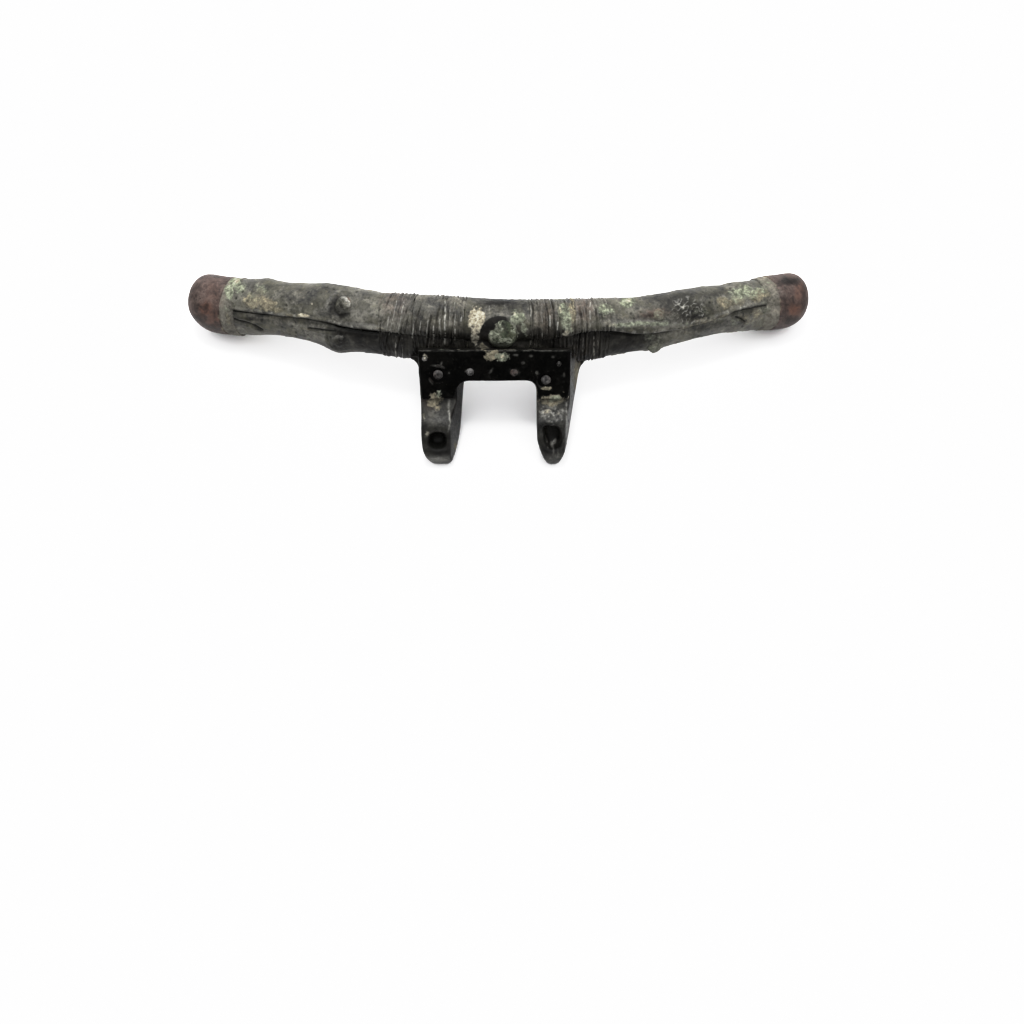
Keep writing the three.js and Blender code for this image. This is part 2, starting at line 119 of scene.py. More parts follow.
def sstep(a, b, x):
    t = np.clip((x - a) / (b - a), 0, 1)
    return t * t * (3 - 2 * t)


# ------------------------------------------------------------------ front chart
# A fixed chart over the front of the piece, used to place deposits, cracks, wear, painted shade and painted highlights.
# Chart columns and rows are 0.156 mm apart at the hub; C() turns them into millimetres from it.
EYE = np.array([0.0, 0.0, 0.0])
VIEW_DELTA = math.radians(15.0)
DIST = 377.0
FOC = 85.0 / 36.0 * 1024.0
P0 = (498.5, 322.5)
_dx, _dy = (P0[0] - 512) / FOC, (512 - P0[1]) / FOC
EC = LEAN + VIEW_DELTA + math.atan(_dy)
FWD = np.array([0.0, math.cos(EC), -math.sin(EC)])
RIGHT = np.array([1.0, 0.0, 0.0])
UP = np.cross(RIGHT, FWD)
CAM_ROW_MM = -DIST * (FWD + _dx * RIGHT + _dy * UP) + OFF  # camera in the row frame, mm
VIEW_OWN = np.array([0.0, -math.cos(VIEW_DELTA), math.sin(VIEW_DELTA)])


def chart(p):
    """Own-frame points to chart columns and rows, from the hub, in mm at the hub's distance."""
    w = to_row(p) * 1000.0
    q = w - CAM_ROW_MM
    d = q @ FWD
    u = 512 + FOC * (q @ RIGHT) / d
    v = 512 - FOC * (q @ UP) / d
    return (u - P0[0]) * 0.1559, (P0[1] - v) * 0.1559


def C(u, v):
    return (u - P0[0]) * 0.1559, (P0[1] - v) * 0.1559


# ------------------------------------------------------------------ the bar's line and section
HALF, POWER = 48.0, 1.6
SWEEP_L, SWEEP_R = 14.2, 14.87


def sweep_y(x):
    return np.where(x < 0, SWEEP_L, SWEEP_R) * np.abs(x / HALF) ** POWER


def sweep_slope(x):
    return np.sign(x) * np.where(x < 0, SWEEP_L, SWEEP_R) * POWER * np.abs(x / HALF) ** (POWER - 1) / HALF


def bend(x, y, z):
    a = np.arctan(sweep_slope(x))
    return np.stack([x - y * np.sin(a), sweep_y(x) + y * np.cos(a), z], -1)


def unbend(p):
    """Own-frame points back to (x along the bar, y, z)."""
    x = p[:, 0].copy()
    for _ in range(12):
        a = np.arctan(sweep_slope(x))
        y = (p[:, 1] - sweep_y(x)) / np.cos(a)
        x = 0.5 * x + 0.5 * (p[:, 0] + y * np.sin(a))
    a = np.arctan(sweep_slope(x))
    y = (p[:, 1] - sweep_y(x)) / np.cos(a)
    return x, y, p[:, 2]


# x, upper centre height, upper radius, seam height at the front, drop of the lower edge,
# step in under the upper lobe
TABLE = np.array([
    [-44.0, 0.50, 3.78, 0.02, 5.00, 0.08], [-42.2, 0.50, 3.78, 0.02, 4.95, 0.08],
    [-38.6, 0.58, 3.75, -0.06, 4.62, 0.14], [-36.0, 0.62, 3.68, -0.02, 4.28, 0.20],
    [-33.5, 0.62, 3.66, -0.15, 4.22, 0.25], [-30.0, 0.66, 3.76, -0.05, 4.66, 0.28],
    [-27.0, 0.64, 3.80, -0.30, 5.20, 0.30], [-24.8, 0.55, 3.82, -0.55, 5.48, 0.32],
    [-23.2, 0.45, 3.82, -1.00, 5.60, 0.34], [-20.6, 0.22, 3.80, -1.12, 5.70, 0.34],
    [-17.8, 0.10, 3.75, -1.25, 5.82, 0.32], [-14.0, 0.20, 3.80, -1.50, 6.00, 0.35],
    [-9.0, 0.20, 3.80, -1.80, 5.86, 0.35], [-4.6, 0.10, 3.75, -2.00, 5.95, 0.35],
    [0.0, 0.00, 3.70, -2.10, 6.15, 0.35], [4.6, -0.10, 3.65, -2.10, 6.15, 0.40],
    [8.5, -0.20, 3.62, -2.00, 6.20, 0.65], [10.6, -0.27, 3.60, -1.55, 6.30, 0.85],
    [12.4, -0.32, 3.60, -1.12, 6.35, 1.00], [14.6, -0.40, 3.56, -1.05, 6.30, 1.05],
    [18.0, -0.46, 3.50, -1.50, 5.90, 0.95], [21.0, -0.52, 3.42, -2.15, 5.62, 0.70],
    [23.5, -0.42, 3.40, -2.35, 5.45, 0.45], [26.0, -0.18, 3.40, -2.10, 5.20, 0.25],
    [29.0, 0.02, 3.44, -1.60, 4.78, 0.16], [32.0, 0.13, 3.45, -0.90, 4.25, 0.14],
    [35.0, 0.20, 3.45, -0.05, 4.00, 0.16], [37.5, 0.28, 3.48, 0.42, 4.04, 0.18],
    [40.2, 0.34, 3.56, 0.65, 4.15, 0.15], [43.1, 0.34, 3.68, 0.60, 4.28, 0.10],
    [45.0, 0.34, 3.68, 0.60, 4.28, 0.10],
])
_X = np.linspace(-44, 45, 1781)
_K = np.exp(-0.5 * (np.arange(-30, 31) * 0.05 / 0.7) ** 2); _K /= _K.sum()


def _smooth_col(k):
    v = np.interp(_X, TABLE[:, 0], TABLE[:, k])
    return np.convolve(np.pad(v, 30, mode="edge"), _K, mode="valid")


_COL = [None] + [_smooth_col(k) for k in range(1, 6)]


def sec(x, k):
    return np.interp(x, _X, _COL[k])


def lobes(x):
    """z1, r1, seam height, lower half width, lower height and lowest point at x."""
    z1, r1, zs, down, step = (sec(x, k) for k in range(1, 6))
    w = np.sqrt(np.maximum(r1 ** 2 - (zs - z1) ** 2, 1.0)) - step
    h = np.sqrt(np.maximum((down + zs * 0.966) ** 2 - (0.259 * w) ** 2, 1.0)) / 0.966
    return z1, r1, zs, w, h


# ------------------------------------------------------------------ mesh helpers
def mesh_from(name, verts, faces):
    m = bpy.data.meshes.new(name)
    m.from_pydata([tuple(v) for v in np.asarray(verts, float)], [], faces)
    m.validate()
    m.update()
    return m


def grid_mesh(name, grid, close_ends=True):
    """A tube from an array of rings (rows, round, 3), closed by fans of shrinking rings."""
    nu, nv, _ = grid.shape
    verts = grid.reshape(-1, 3)
    faces = []
    idx = np.arange(nu * nv).reshape(nu, nv)
    a = idx[:-1, :]; b = idx[1:, :]
    a2 = np.roll(a, -1, 1); b2 = np.roll(b, -1, 1)
    quads = np.stack([a, b, b2, a2], -1).reshape(-1, 4)
    faces = quads.tolist()
    extra = []
    if close_ends:
        n = len(verts)
        c0 = grid[0].mean(0); c1 = grid[-1].mean(0)
        extra = [c0, c1]
        for j in range(nv):
            k = (j + 1) % nv
            faces.append([int(idx[0, j]), int(idx[0, k]), n])
            faces.append([int(idx[-1, k]), int(idx[-1, j]), n + 1])
    if extra:
        verts = np.vstack([verts, extra])
    return mesh_from(name, verts, faces)


def temp_object(mesh):
    o = bpy.data.objects.new("tmp_" + mesh.name, mesh)
    bpy.context.collection.objects.link(o)
    return o


def evaluated(o, keep=False):
    dg = bpy.context.evaluated_depsgraph_get()
    m = bpy.data.meshes.new_from_object(o.evaluated_get(dg), depsgraph=dg)
    if not keep:
        old = o.data
        bpy.data.objects.remove(o)
        if old.users == 0:
            bpy.data.meshes.remove(old)
    return m


def cut(mesh, cutters, solver="EXACT", op="DIFFERENCE"):
    o = temp_object(mesh)
    tools = [temp_object(c) for c in cutters]
    for t in tools:
        md = o.modifiers.new("cut", "BOOLEAN")
        md.operation = op
        md.solver = solver
        md.object = t
    m = evaluated(o)
    for t in tools:
        bpy.data.objects.remove(t)
    return m


def join(meshes):
    vs, fs, n = [], [], 0
    for m in meshes:
        v = np.empty(len(m.vertices) * 3); m.vertices.foreach_get("co", v)
        vs.append(v.reshape(-1, 3))
        fs += [[i + n for i in p.vertices] for p in m.polygons]
        n += len(m.vertices)
    return mesh_from("joined", np.vstack(vs), fs)


def remesh(mesh, voxel, smooth=3, factor=0.5):
    o = temp_object(mesh)
    md = o.modifiers.new("r", "REMESH")
    md.mode = "VOXEL"
    md.voxel_size = voxel
    md.adaptivity = 0.0
    if smooth:
        s = o.modifiers.new("s", "SMOOTH")
        s.factor = factor
        s.iterations = smooth
    return evaluated(o)


def coords(mesh):
    v = np.empty(len(mesh.vertices) * 3); mesh.vertices.foreach_get("co", v)
    return v.reshape(-1, 3)


def normals(mesh):
    v = np.empty(len(mesh.vertices) * 3); mesh.vertex_normals.foreach_get("vector", v)
    return v.reshape(-1, 3)


def set_coords(mesh, v):
    mesh.vertices.foreach_set("co", np.asarray(v, np.float32).ravel())
    mesh.update()


def cad_mesh(node):
    """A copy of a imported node's mesh in the own frame, in mm."""
    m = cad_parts[node].data.copy()
    set_coords(m, to_own(coords(m)))
    return m


# per-vertex masks; the black one carries dark patina and painted shade, the worn one rubbed wear and painted
# highlights, the lit one painted highlights only
MASKS = ("tan", "green", "white", "red", "black_and_shade", "worn", "pit", "painted_highlight")


def outward(mesh):
    """Turns a closed mesh's faces out."""
    mesh.calc_loop_triangles()
    t = np.empty(len(mesh.loop_triangles) * 3, np.int32)
    mesh.loop_triangles.foreach_get("vertices", t)
    v = coords(mesh)[t.reshape(-1, 3)]
    if np.einsum("ij,ij->i", v[:, 0], np.cross(v[:, 1], v[:, 2])).sum() < 0:
        mesh.flip_normals()
        mesh.update()


def finish_piece(name, mesh, body, replaced, material, paint=None, smooth=True, tag=None):
    """Displaces, paints, moves to the row frame, makes the object, attaches it to its body and hides the parts it
    replaces.
    """
    outward(mesh)
    p = coords(mesh); n = normals(mesh)
    masks = {}
    if paint:
        d, masks = paint(p, n)
        p = p + n * d[:, None]
    set_coords(mesh, to_row(p))
    for k in MASKS:
        if material is not None:
            a = mesh.attributes.new(k, "FLOAT", "POINT")
            v = np.asarray(masks.get(k, np.zeros(len(p))), np.float32)
            a.data.foreach_set("value", np.clip(v, 0, 1))
    mesh.polygons.foreach_set("use_smooth", np.full(len(mesh.polygons), smooth))
    mesh.update()
    mesh.name = name
    o = bpy.data.objects.new(name, mesh)
    bpy.context.collection.objects.link(o)
    mesh.materials.clear()
    mesh.materials.append(material)
    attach(o, body)
    if replaced:
        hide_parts(*replaced)
    return o


# ------------------------------------------------------------------ materials
def new_material(name):
    m = bpy.data.materials.new(name)
    m.use_nodes = True
    nt = m.node_tree
    for nd in list(nt.nodes):
        nt.nodes.remove(nd)
    out = nt.nodes.new("ShaderNodeOutputMaterial")
    bsdf = nt.nodes.new("ShaderNodeBsdfPrincipled")
    nt.links.new(bsdf.outputs[0], out.inputs[0])
    return m, nt, bsdf


class Kit:
    """Small helper for building a node tree."""

    def __init__(self, nt):
        self.nt = nt
        tc = nt.nodes.new("ShaderNodeTexCoord")
        mp = nt.nodes.new("ShaderNodeMapping")
        mp.inputs["Scale"].default_value = (1000, 1000, 1000)
        nt.links.new(tc.outputs["Object"], mp.inputs["Vector"])
        self.mm = mp.outputs[0]

    def link(self, a, b):
        self.nt.links.new(a, b)

    def put(self, sock, v):
        if hasattr(v, "is_output") or isinstance(v, bpy.types.NodeSocket):
            self.link(v, sock)
        else:
            sock.default_value = v

    def noise(self, size, detail=4, rough=0.55, distort=0.0, vector=None, lac=2.1):
        n = self.nt.nodes.new("ShaderNodeTexNoise")
        n.inputs["Scale"].default_value = 1.0 / size
        n.inputs["Detail"].default_value = detail
        n.inputs["Roughness"].default_value = rough
        n.inputs["Lacunarity"].default_value = lac
        n.inputs["Distortion"].default_value = distort
        self.link(vector or self.mm, n.inputs["Vector"])
        return n.outputs["Fac"]

    def cells(self, size, feature="F1", rand=1.0):
        n = self.nt.nodes.new("ShaderNodeTexVoronoi")
        n.feature = feature
        n.inputs["Scale"].default_value = 1.0 / size
        n.inputs["Randomness"].default_value = rand
        self.link(self.mm, n.inputs["Vector"])
        return n.outputs["Distance"]

    def ramp(self, fac, stops, interp="LINEAR"):
        n = self.nt.nodes.new("ShaderNodeValToRGB")
        r = n.color_ramp
        r.interpolation = interp
        while len(r.elements) > 1:
            r.elements.remove(r.elements[-1])
        r.elements[0].position = stops[0][0]
        r.elements[0].color = (*stops[0][1], 1)
        for pos, col in stops[1:]:
            e = r.elements.new(pos)
            e.color = (*col, 1)
        self.put(n.inputs[0], fac)
        return n.outputs[0]

    def span(self, v, a, b, lo=0.0, hi=1.0, smooth=True):
        n = self.nt.nodes.new("ShaderNodeMapRange")
        n.interpolation_type = "SMOOTHSTEP" if smooth else "LINEAR"
        self.put(n.inputs["Value"], v)
        n.inputs["From Min"].default_value = a
        n.inputs["From Max"].default_value = b
        n.inputs["To Min"].default_value = lo
        n.inputs["To Max"].default_value = hi
        return n.outputs[0]

    def math(self, op, a, b=0.0, clamp=False):
        n = self.nt.nodes.new("ShaderNodeMath")
        n.operation = op
        n.use_clamp = clamp
        self.put(n.inputs[0], a)
        self.put(n.inputs[1], b)
        return n.outputs[0]

    def mix(self, fac, a, b, mode="MIX"):
        n = self.nt.nodes.new("ShaderNodeMix")
        n.data_type = "RGBA"
        n.blend_type = mode
        self.put(n.inputs[0], fac)
        self.put(n.inputs[6], a if not isinstance(a, tuple) else (*a, 1))
        self.put(n.inputs[7], b if not isinstance(b, tuple) else (*b, 1))
        return n.outputs[2]

    def mixf(self, fac, a, b):
        n = self.nt.nodes.new("ShaderNodeMix")
        n.data_type = "FLOAT"
        self.put(n.inputs[0], fac)
        self.put(n.inputs[2], a)
        self.put(n.inputs[3], b)
        return n.outputs[0]

    def attr(self, name):
        n = self.nt.nodes.new("ShaderNodeAttribute")
        n.attribute_type = "GEOMETRY"
        n.attribute_name = name
        return n.outputs["Fac"]

    def bump(self, height, distance, strength=1.0, normal=None):
        n = self.nt.nodes.new("ShaderNodeBump")
        n.inputs["Strength"].default_value = strength
        n.inputs["Distance"].default_value = distance
        self.put(n.inputs["Height"], height)
        if normal is not None:
            self.link(normal, n.inputs["Normal"])
        return n.outputs[0]


def patina_with_painted_light(name, dark, mid, light, rough=(0.36, 0.62), specular=0.35, speck=0.25, fine=1.0, olive=0.5, soft=(0.34, 0.8)):
    """Corroded bronze: mottled ground, deposits from the painted masks, painted shade and painted highlights, pits,
    fine grain.
    """
    m, nt, b = new_material(name)
    k = Kit(nt)
    big = k.noise(5.5, 5, 0.6, 0.4)
    mott = k.noise(1.5, 7, 0.66, 0.7)
    grain = k.noise(0.36, 5, 0.66)
    fine_n = k.noise(0.12, 3, 0.55)
    tone = k.math("ADD", k.math("MULTIPLY", big, 0.36), k.math("ADD", k.math("MULTIPLY", mott, 0.42), k.math("MULTIPLY", grain, 0.22)))
    col = k.ramp(tone, [(0.415, dark), (0.5, mid), (0.585, light)])
    # olive and brown clouds
    cloud = k.span(k.noise(2.7, 6, 0.62, 0.8), 0.42, 0.62, 0.0, olive)
    col = k.mix(cloud, col, k.ramp(k.noise(1.1, 6, 0.65), [(0.32, (0.022, 0.021, 0.012)), (0.52, (0.058, 0.055, 0.036)), (0.7, (0.12, 0.115, 0.08))]))
    # small pale specks and darker pinholes
    sp = k.span(k.cells(0.42), 0.17, 0.06)
    spz = k.math("MULTIPLY", sp, k.span(k.noise(2.4, 4, 0.65), 0.5, 0.64))
    col = k.mix(k.math("MULTIPLY", spz, speck), col, (0.27, 0.265, 0.215))
    hole = k.math("MULTIPLY", k.span(k.cells(0.7), 0.22, 0.09), k.span(k.noise(2.6, 4, 0.65), 0.46, 0.6))
    col = k.mix(k.math("MULTIPLY", hole, 0.8), col, (0.006, 0.006, 0.005))
    # painted masks, their edges broken by grain and their bodies patchy
    edge = k.math("SUBTRACT", k.math("ADD", k.math("MULTIPLY", k.noise(0.75, 6, 0.7, 0.3), 0.6), k.math("MULTIPLY", grain, 0.4)), 0.5)

    def broken(att, amount=1.25, lo=soft[0], hi=soft[1]):
        return k.span(k.math("ADD", k.attr(att), k.math("MULTIPLY", edge, amount)), lo, hi)

    red = k.math("MULTIPLY", k.attr("red"), k.span(mott, 0.35, 0.6, 0.35, 1.0))
    col = k.mix(red, col, k.ramp(mott, [(0.3, (0.045, 0.022, 0.016)), (0.7, (0.135, 0.07, 0.048))]))
    # pale mix for rubbed wear and for painted highlights
    worn = k.math("MULTIPLY", k.attr("worn"), k.span(grain, 0.32, 0.58, 0.35, 1.0))
    col = k.mix(worn, col, k.ramp(mott, [(0.34, (0.08, 0.078, 0.07)), (0.64, (0.215, 0.21, 0.19))]))
    tan = broken("tan")
    col = k.mix(k.math("MULTIPLY", tan, 0.92), col, k.ramp(k.noise(0.7, 6, 0.7, 0.3), [(0.34, (0.078, 0.071, 0.052)), (0.5, (0.166, 0.152, 0.114)), (0.64, (0.284, 0.263, 0.202))]))
    green = broken("green")
    col = k.mix(k.math("MULTIPLY", green, 0.92), col, k.ramp(k.noise(0.6, 6, 0.7, 0.3), [(0.34, (0.058, 0.063, 0.045)), (0.49, (0.168, 0.176, 0.138)), (0.63, (0.288, 0.30, 0.25))]))
    white = broken("white", 1.0)
    col = k.mix(white, col, k.ramp(k.noise(0.5, 5, 0.66), [(0.34, (0.11, 0.098, 0.075)), (0.48, (0.255, 0.238, 0.194)), (0.63, (0.40, 0.385, 0.325))]))
    # near-black mix for dark patina and for painted shade
    black_and_shade = k.attr("black_and_shade")
    blk = k.math("MULTIPLY", black_and_shade, k.span(k.math("MAXIMUM", tan, green), 0.2, 0.9, 1.0, 0.35))
    col = k.mix(k.math("MULTIPLY", blk, 0.94), col, k.ramp(mott, [(0.36, (0.0022, 0.0022, 0.0022)), (0.6, (0.0085, 0.0075, 0.0065))]))
    pit = k.attr("pit")
    col = k.mix(k.math("MULTIPLY", pit, 0.88), col, (0.006, 0.006, 0.005))
    # pale mix for painted highlights
    painted_highlight = k.math("MULTIPLY", k.attr("painted_highlight"), k.span(grain, 0.3, 0.55, 0.45, 1.0))
    col = k.mix(painted_highlight, col, k.ramp(mott, [(0.36, (0.17, 0.168, 0.155)), (0.62, (0.36, 0.355, 0.33))]))
    b.inputs["Base Color"].default_value = (*mid, 1)
    k.link(col, b.inputs["Base Color"])
    r = k.span(k.math("ADD", k.math("MULTIPLY", mott, 0.6), k.math("MULTIPLY", grain, 0.4)), 0.35, 0.65, rough[0], rough[1])
    dep = k.math("MAXIMUM", k.math("MAXIMUM", tan, green), k.math("MAXIMUM", white, k.math("MULTIPLY", pit, 0.8)))
    r = k.mixf(dep, r, 0.9)
    r = k.mixf(blk, r, k.span(grain, 0.3, 0.7, 0.3, 0.5))
    k.link(r, b.inputs["Roughness"])
    sv = k.mixf(k.math("MAXIMUM", dep, 0.0), k.mixf(blk, specular, 0.12), 0.15)
    k.link(sv, b.inputs["Specular IOR Level"])
    b.inputs["Metallic"].default_value = 0.0
    h = k.math("ADD", k.math("MULTIPLY", grain, 0.7), k.math("MULTIPLY", fine_n, 0.3))
    h = k.math("SUBTRACT", h, k.math("MULTIPLY", hole, 0.5))
    h = k.math("ADD", h, k.math("MULTIPLY", k.math("MULTIPLY", dep, k.noise(0.22, 4, 0.7)), 0.9))
    k.link(k.bump(h, 0.00007 * fine, 1.0), b.inputs["Normal"])
    return m


BAR = patina_with_painted_light("bar_patina", (0.010, 0.010, 0.009), (0.057, 0.0542, 0.0448), (0.156, 0.150, 0.127), speck=0.16, olive=0.7)
WIRE = patina_with_painted_light("binding_patina", (0.012, 0.0117, 0.0105), (0.065, 0.0612, 0.0498), (0.166, 0.158, 0.134), rough=(0.34, 0.56))
IRON = patina_with_painted_light("bracket_patina", (0.003, 0.003, 0.003), (0.010, 0.010, 0.009), (0.040, 0.040, 0.037), rough=(0.28, 0.5), specular=0.22, olive=0.2)
# near black with almost no reflection: the plate's dark patina and painted shade
PLATE = patina_with_painted_light("plate_patina", (0.0006, 0.0006, 0.0005), (0.0011, 0.00105, 0.0009), (0.0026, 0.0024, 0.0020), rough=(0.28, 0.44), specular=0.05, speck=0.12, fine=0.5, olive=0.0)
CAP = patina_with_painted_light("cap_copper", (0.026, 0.018, 0.015), (0.07, 0.048, 0.041), (0.122, 0.092, 0.08), rough=(0.42, 0.62), specular=0.25, speck=0.06, olive=0.05, soft=(0.42, 0.95))
COLLAR = patina_with_painted_light("collar_crust", (0.05, 0.045, 0.036), (0.145, 0.132, 0.108), (0.27, 0.25, 0.208), rough=(0.6, 0.85), specular=0.2, speck=0.2, olive=0.35)
PIN = patina_with_painted_light("pin_verdigris", (0.012, 0.016, 0.009), (0.055, 0.066, 0.042), (0.15, 0.165, 0.12), rough=(0.55, 0.85), specular=0.2, speck=0.4, fine=1.6)
RIVET = patina_with_painted_light("rivet_bronze", (0.02, 0.019, 0.018), (0.075, 0.072, 0.07), (0.16, 0.155, 0.15), rough=(0.38, 0.6), specular=0.3, speck=0.2, olive=0.15)


# ------------------------------------------------------------------ deposits, painted shade and painted highlights on the chart
# kind, chart column and row of the middle, half width, half height (chart steps), turn in
# degrees, strength
# the black patches are mostly painted shade under the seam and on the lower strips, the rest dark patina; the worn
# patches are rubbed wear and painted highlights along the seam's lip
PATCHES = [
    # left horn
    ("green", 235, 282, 6.5, 5, 20, 1.4), ("white", 237, 281.5, 3.5, 2.5, 20, 0.7), ("green", 229, 292, 5, 9, 5, 1.2), ("green", 240, 288, 9, 7, 0, 0.8),
    ("tan", 251, 302, 9, 8, -15, 1.12), ("tan", 266, 303, 11, 6.5, -25, 1.12), ("tan", 277, 310, 7, 4, -20, 0.75),
    ("green", 262, 290, 12, 6, -20, 0.55), ("tan", 262, 292, 7, 3.5, -20, 0.6), ("tan", 260, 301, 24, 10, -28, 0.62), ("worn", 240, 296, 14, 14, 0, 0.45),
    ("green", 252, 297, 14, 9, -20, 0.5), ("black_and_shade", 250, 288, 8, 4, 0, 0.35), ("white", 236, 278, 8, 3.5, -10, 0.3),
    ("white", 305, 315.5, 7, 1.6, -8, 1.0), ("tan", 293, 315, 10, 2.2, -8, 0.7), ("tan", 322, 312, 18, 5, -6, 0.35),
    ("worn", 367, 325.5, 26, 2.4, -6, 0.9), ("white", 372, 326.5, 16, 1.5, -6, 0.45), ("black_and_shade", 362, 334.5, 32, 4.5, -8, 1.3), ("black_and_shade", 350, 346, 40, 7, -6, 0.7),
    ("black_and_shade", 375, 345, 18, 9, -6, 0.7), ("worn", 330, 300, 40, 8, -5, 0.18), ("black_and_shade", 247, 318.5, 16, 1.6, -6, 0.6),
    ("white", 312, 304, 2, 2, 0, 0.7), ("tan", 228, 318, 4, 13, 10, 0.6), ("tan", 300, 308, 22, 6, -5, 0.32),
    ("green", 290, 303, 20, 9, -5, 0.3), ("tan", 256, 319, 6, 2, -10, 0.5), ("tan", 311, 329, 12, 1.6, -3, 0.6),
    ("white", 380, 328, 13, 2.0, -6, 0.55), ("green", 356, 318, 20, 8, -5, 0.25), ("white", 346, 303, 2.5, 2, 0, 0.6),
    # bindings, left
    ("red", 396, 303, 12, 12, 0, 0.6), ("worn", 400, 322, 16, 9, 0, 0.45), ("worn", 402, 306, 20, 9, -4, 0.4), ("worn", 428, 306, 20, 5, 0, 0.3),
    # hub
    ("white", 477, 322, 7.5, 13.5, 8, 1.9), ("white", 475, 338, 4.5, 10, 10, 1.25), ("tan", 484, 345, 6, 6, 0, 1.0),
    ("tan", 492, 355, 8, 6, 0, 1.0), ("green", 503, 357, 8, 5, 0, 0.95), ("white", 503, 356, 4, 2.5, 0, 0.7),
    ("green", 517, 318, 8, 8, 30, 1.1), ("green", 524, 329, 4.5, 8, 20, 0.9), ("white", 514, 314, 4, 3, 20, 0.6),
    # bindings, right
    ("green", 565, 318, 6.5, 18, 15, 1.15), ("tan", 571.5, 314, 4, 18, 0, 1.15), ("white", 566, 334, 4, 6, 0, 0.8), ("red", 583, 310, 10, 14, 0, 0.6),
    ("white", 560, 310, 2.5, 6, 10, 0.6), ("red", 588, 350, 12, 10, 0, 0.45), ("red", 545, 318, 8, 18, 0, 0.4), ("green", 519, 332, 2, 6, 0, 0.5),
    # right horn
    ("green", 605, 310, 9, 6.5, -10, 1.0), ("green", 628, 302, 9, 6, 10, 1.0), ("white", 629, 301, 4, 3, 10, 0.7),
    ("white", 610, 324, 9, 4, -10, 0.6), ("green", 628, 325, 26, 3.5, 0, 0.75), ("white", 640, 326, 14, 1.6, 0, 0.5),
    ("green", 650, 336, 14, 6, -10, 0.6), ("black_and_shade", 634, 338, 20, 8, -8, 0.75), ("tan", 655, 339, 6, 4, 0, 0.4), ("red", 652, 314, 14, 5, 8, 0.6),
    ("white", 688, 304, 6, 5, 30, 0.55), ("white", 690, 317, 8, 5, -20, 0.6), ("green", 700, 312, 12, 6, 0, 0.5),
    ("tan", 724, 303, 8, 6.5, -10, 1.05), ("tan", 735, 301, 7, 4, 10, 0.6), ("green", 742, 292, 16, 7, 10, 0.9), ("green", 748, 294, 28, 8, 12, 0.72), ("tan", 735, 301, 20, 7, 10, 0.7), ("worn", 752, 296, 26, 10, 12, 0.6),
    ("worn", 645, 323, 50, 3.6, 0, 0.95), ("green", 648, 323.5, 46, 3.0, 0, 0.8), ("tan", 700, 321, 30, 4, 0, 0.55), ("green", 765, 308, 8, 10, 0, 0.5), ("worn", 690, 300, 30, 6, 10, 0.25), ("worn", 640, 309, 16, 5, 0, 0.3),
    ("black_and_shade", 700, 296, 34, 3.5, 8, 0.45), ("black_and_shade", 652, 340, 18, 8, -6, 0.62), ("black_and_shade", 615, 341, 40, 10, -5, 0.85), ("black_and_shade", 590, 352, 26, 12, -5, 0.5), ("black_and_shade", 500, 301, 28, 8, 0, 1.0), ("black_and_shade", 300, 290, 3, 3, 0, 0.5), ("tan", 283, 318, 26, 4, -4, 0.5), ("worn", 345, 312, 44, 8, -5, 0.35), ("black_and_shade", 733, 314, 14, 2, 12, 0.5), ("black_and_shade", 340, 343, 11, 5.5, 0, 1.0), ("worn", 335, 336.5, 6, 1.8, -5, 0.8), ("black_and_shade", 331.5, 308, 2.4, 6, 0, 1.0), ("black_and_shade", 341, 314.5, 9, 2.2, -8, 1.0), ("black_and_shade", 656, 315, 11, 2.2, 3, 0.8), ("black_and_shade", 676, 300, 24, 8, 8, 0.55), ("black_and_shade", 742, 319, 5, 4, 20, 0.85), ("black_and_shade", 700, 326, 30, 4, 6, 0.45), ("black_and_shade", 668, 322, 16, 3, 0, 0.5),
    ("tan", 758, 295, 13, 8, 12, 0.95), ("green", 762, 288, 8, 6, 10, 0.6), ("tan", 745, 318, 13, 8, 12, 0.6),
    ("green", 735, 322, 9, 5, 10, 0.6), ("tan", 757, 314, 8, 7, 10, 0.65), ("green", 668, 332, 8, 5, 0, 0.4), ("green", 715, 320, 14, 5, 8, 0.45),
    # bracket and plate
    ("tan", 435, 400, 7.5, 8, 10, 1.15), ("green", 439, 394, 4, 5, 0, 0.8), ("tan", 438, 407, 5, 4, 0, 0.8), ("white", 425, 358, 3, 4, 0, 0.7),
    ("tan", 553, 400, 13, 6, 8, 1.15), ("green", 556, 398, 9, 4, 8, 0.8), ("tan", 547, 388.5, 6, 2.6, 0, 0.95),
    ("white", 424, 417, 2.2, 8, 0, 0.6), ("white", 427.5, 434, 3, 3.5, 0, 0.65), ("white", 547, 411, 6, 4, 0, 0.55),
    ("white", 559, 413, 5, 3.5, 0, 0.4), ("white", 553, 420, 6, 2.5, 10, 0.4),
    ("tan", 577, 372, 5, 22, -5, 0.7), ("tan", 583, 358, 6, 8, 0, 0.6), ("green", 576, 350, 6, 7, 0, 0.55), ("tan", 563, 392, 4, 2, 0, 0.5),
    ("red", 430, 385, 9, 22, 0, 0.45), ("red", 505, 372, 15, 8, 0, 0.5), ("red", 540, 357, 12, 7, 0, 0.5), ("red", 556, 383, 6, 8, 0, 0.35),
]


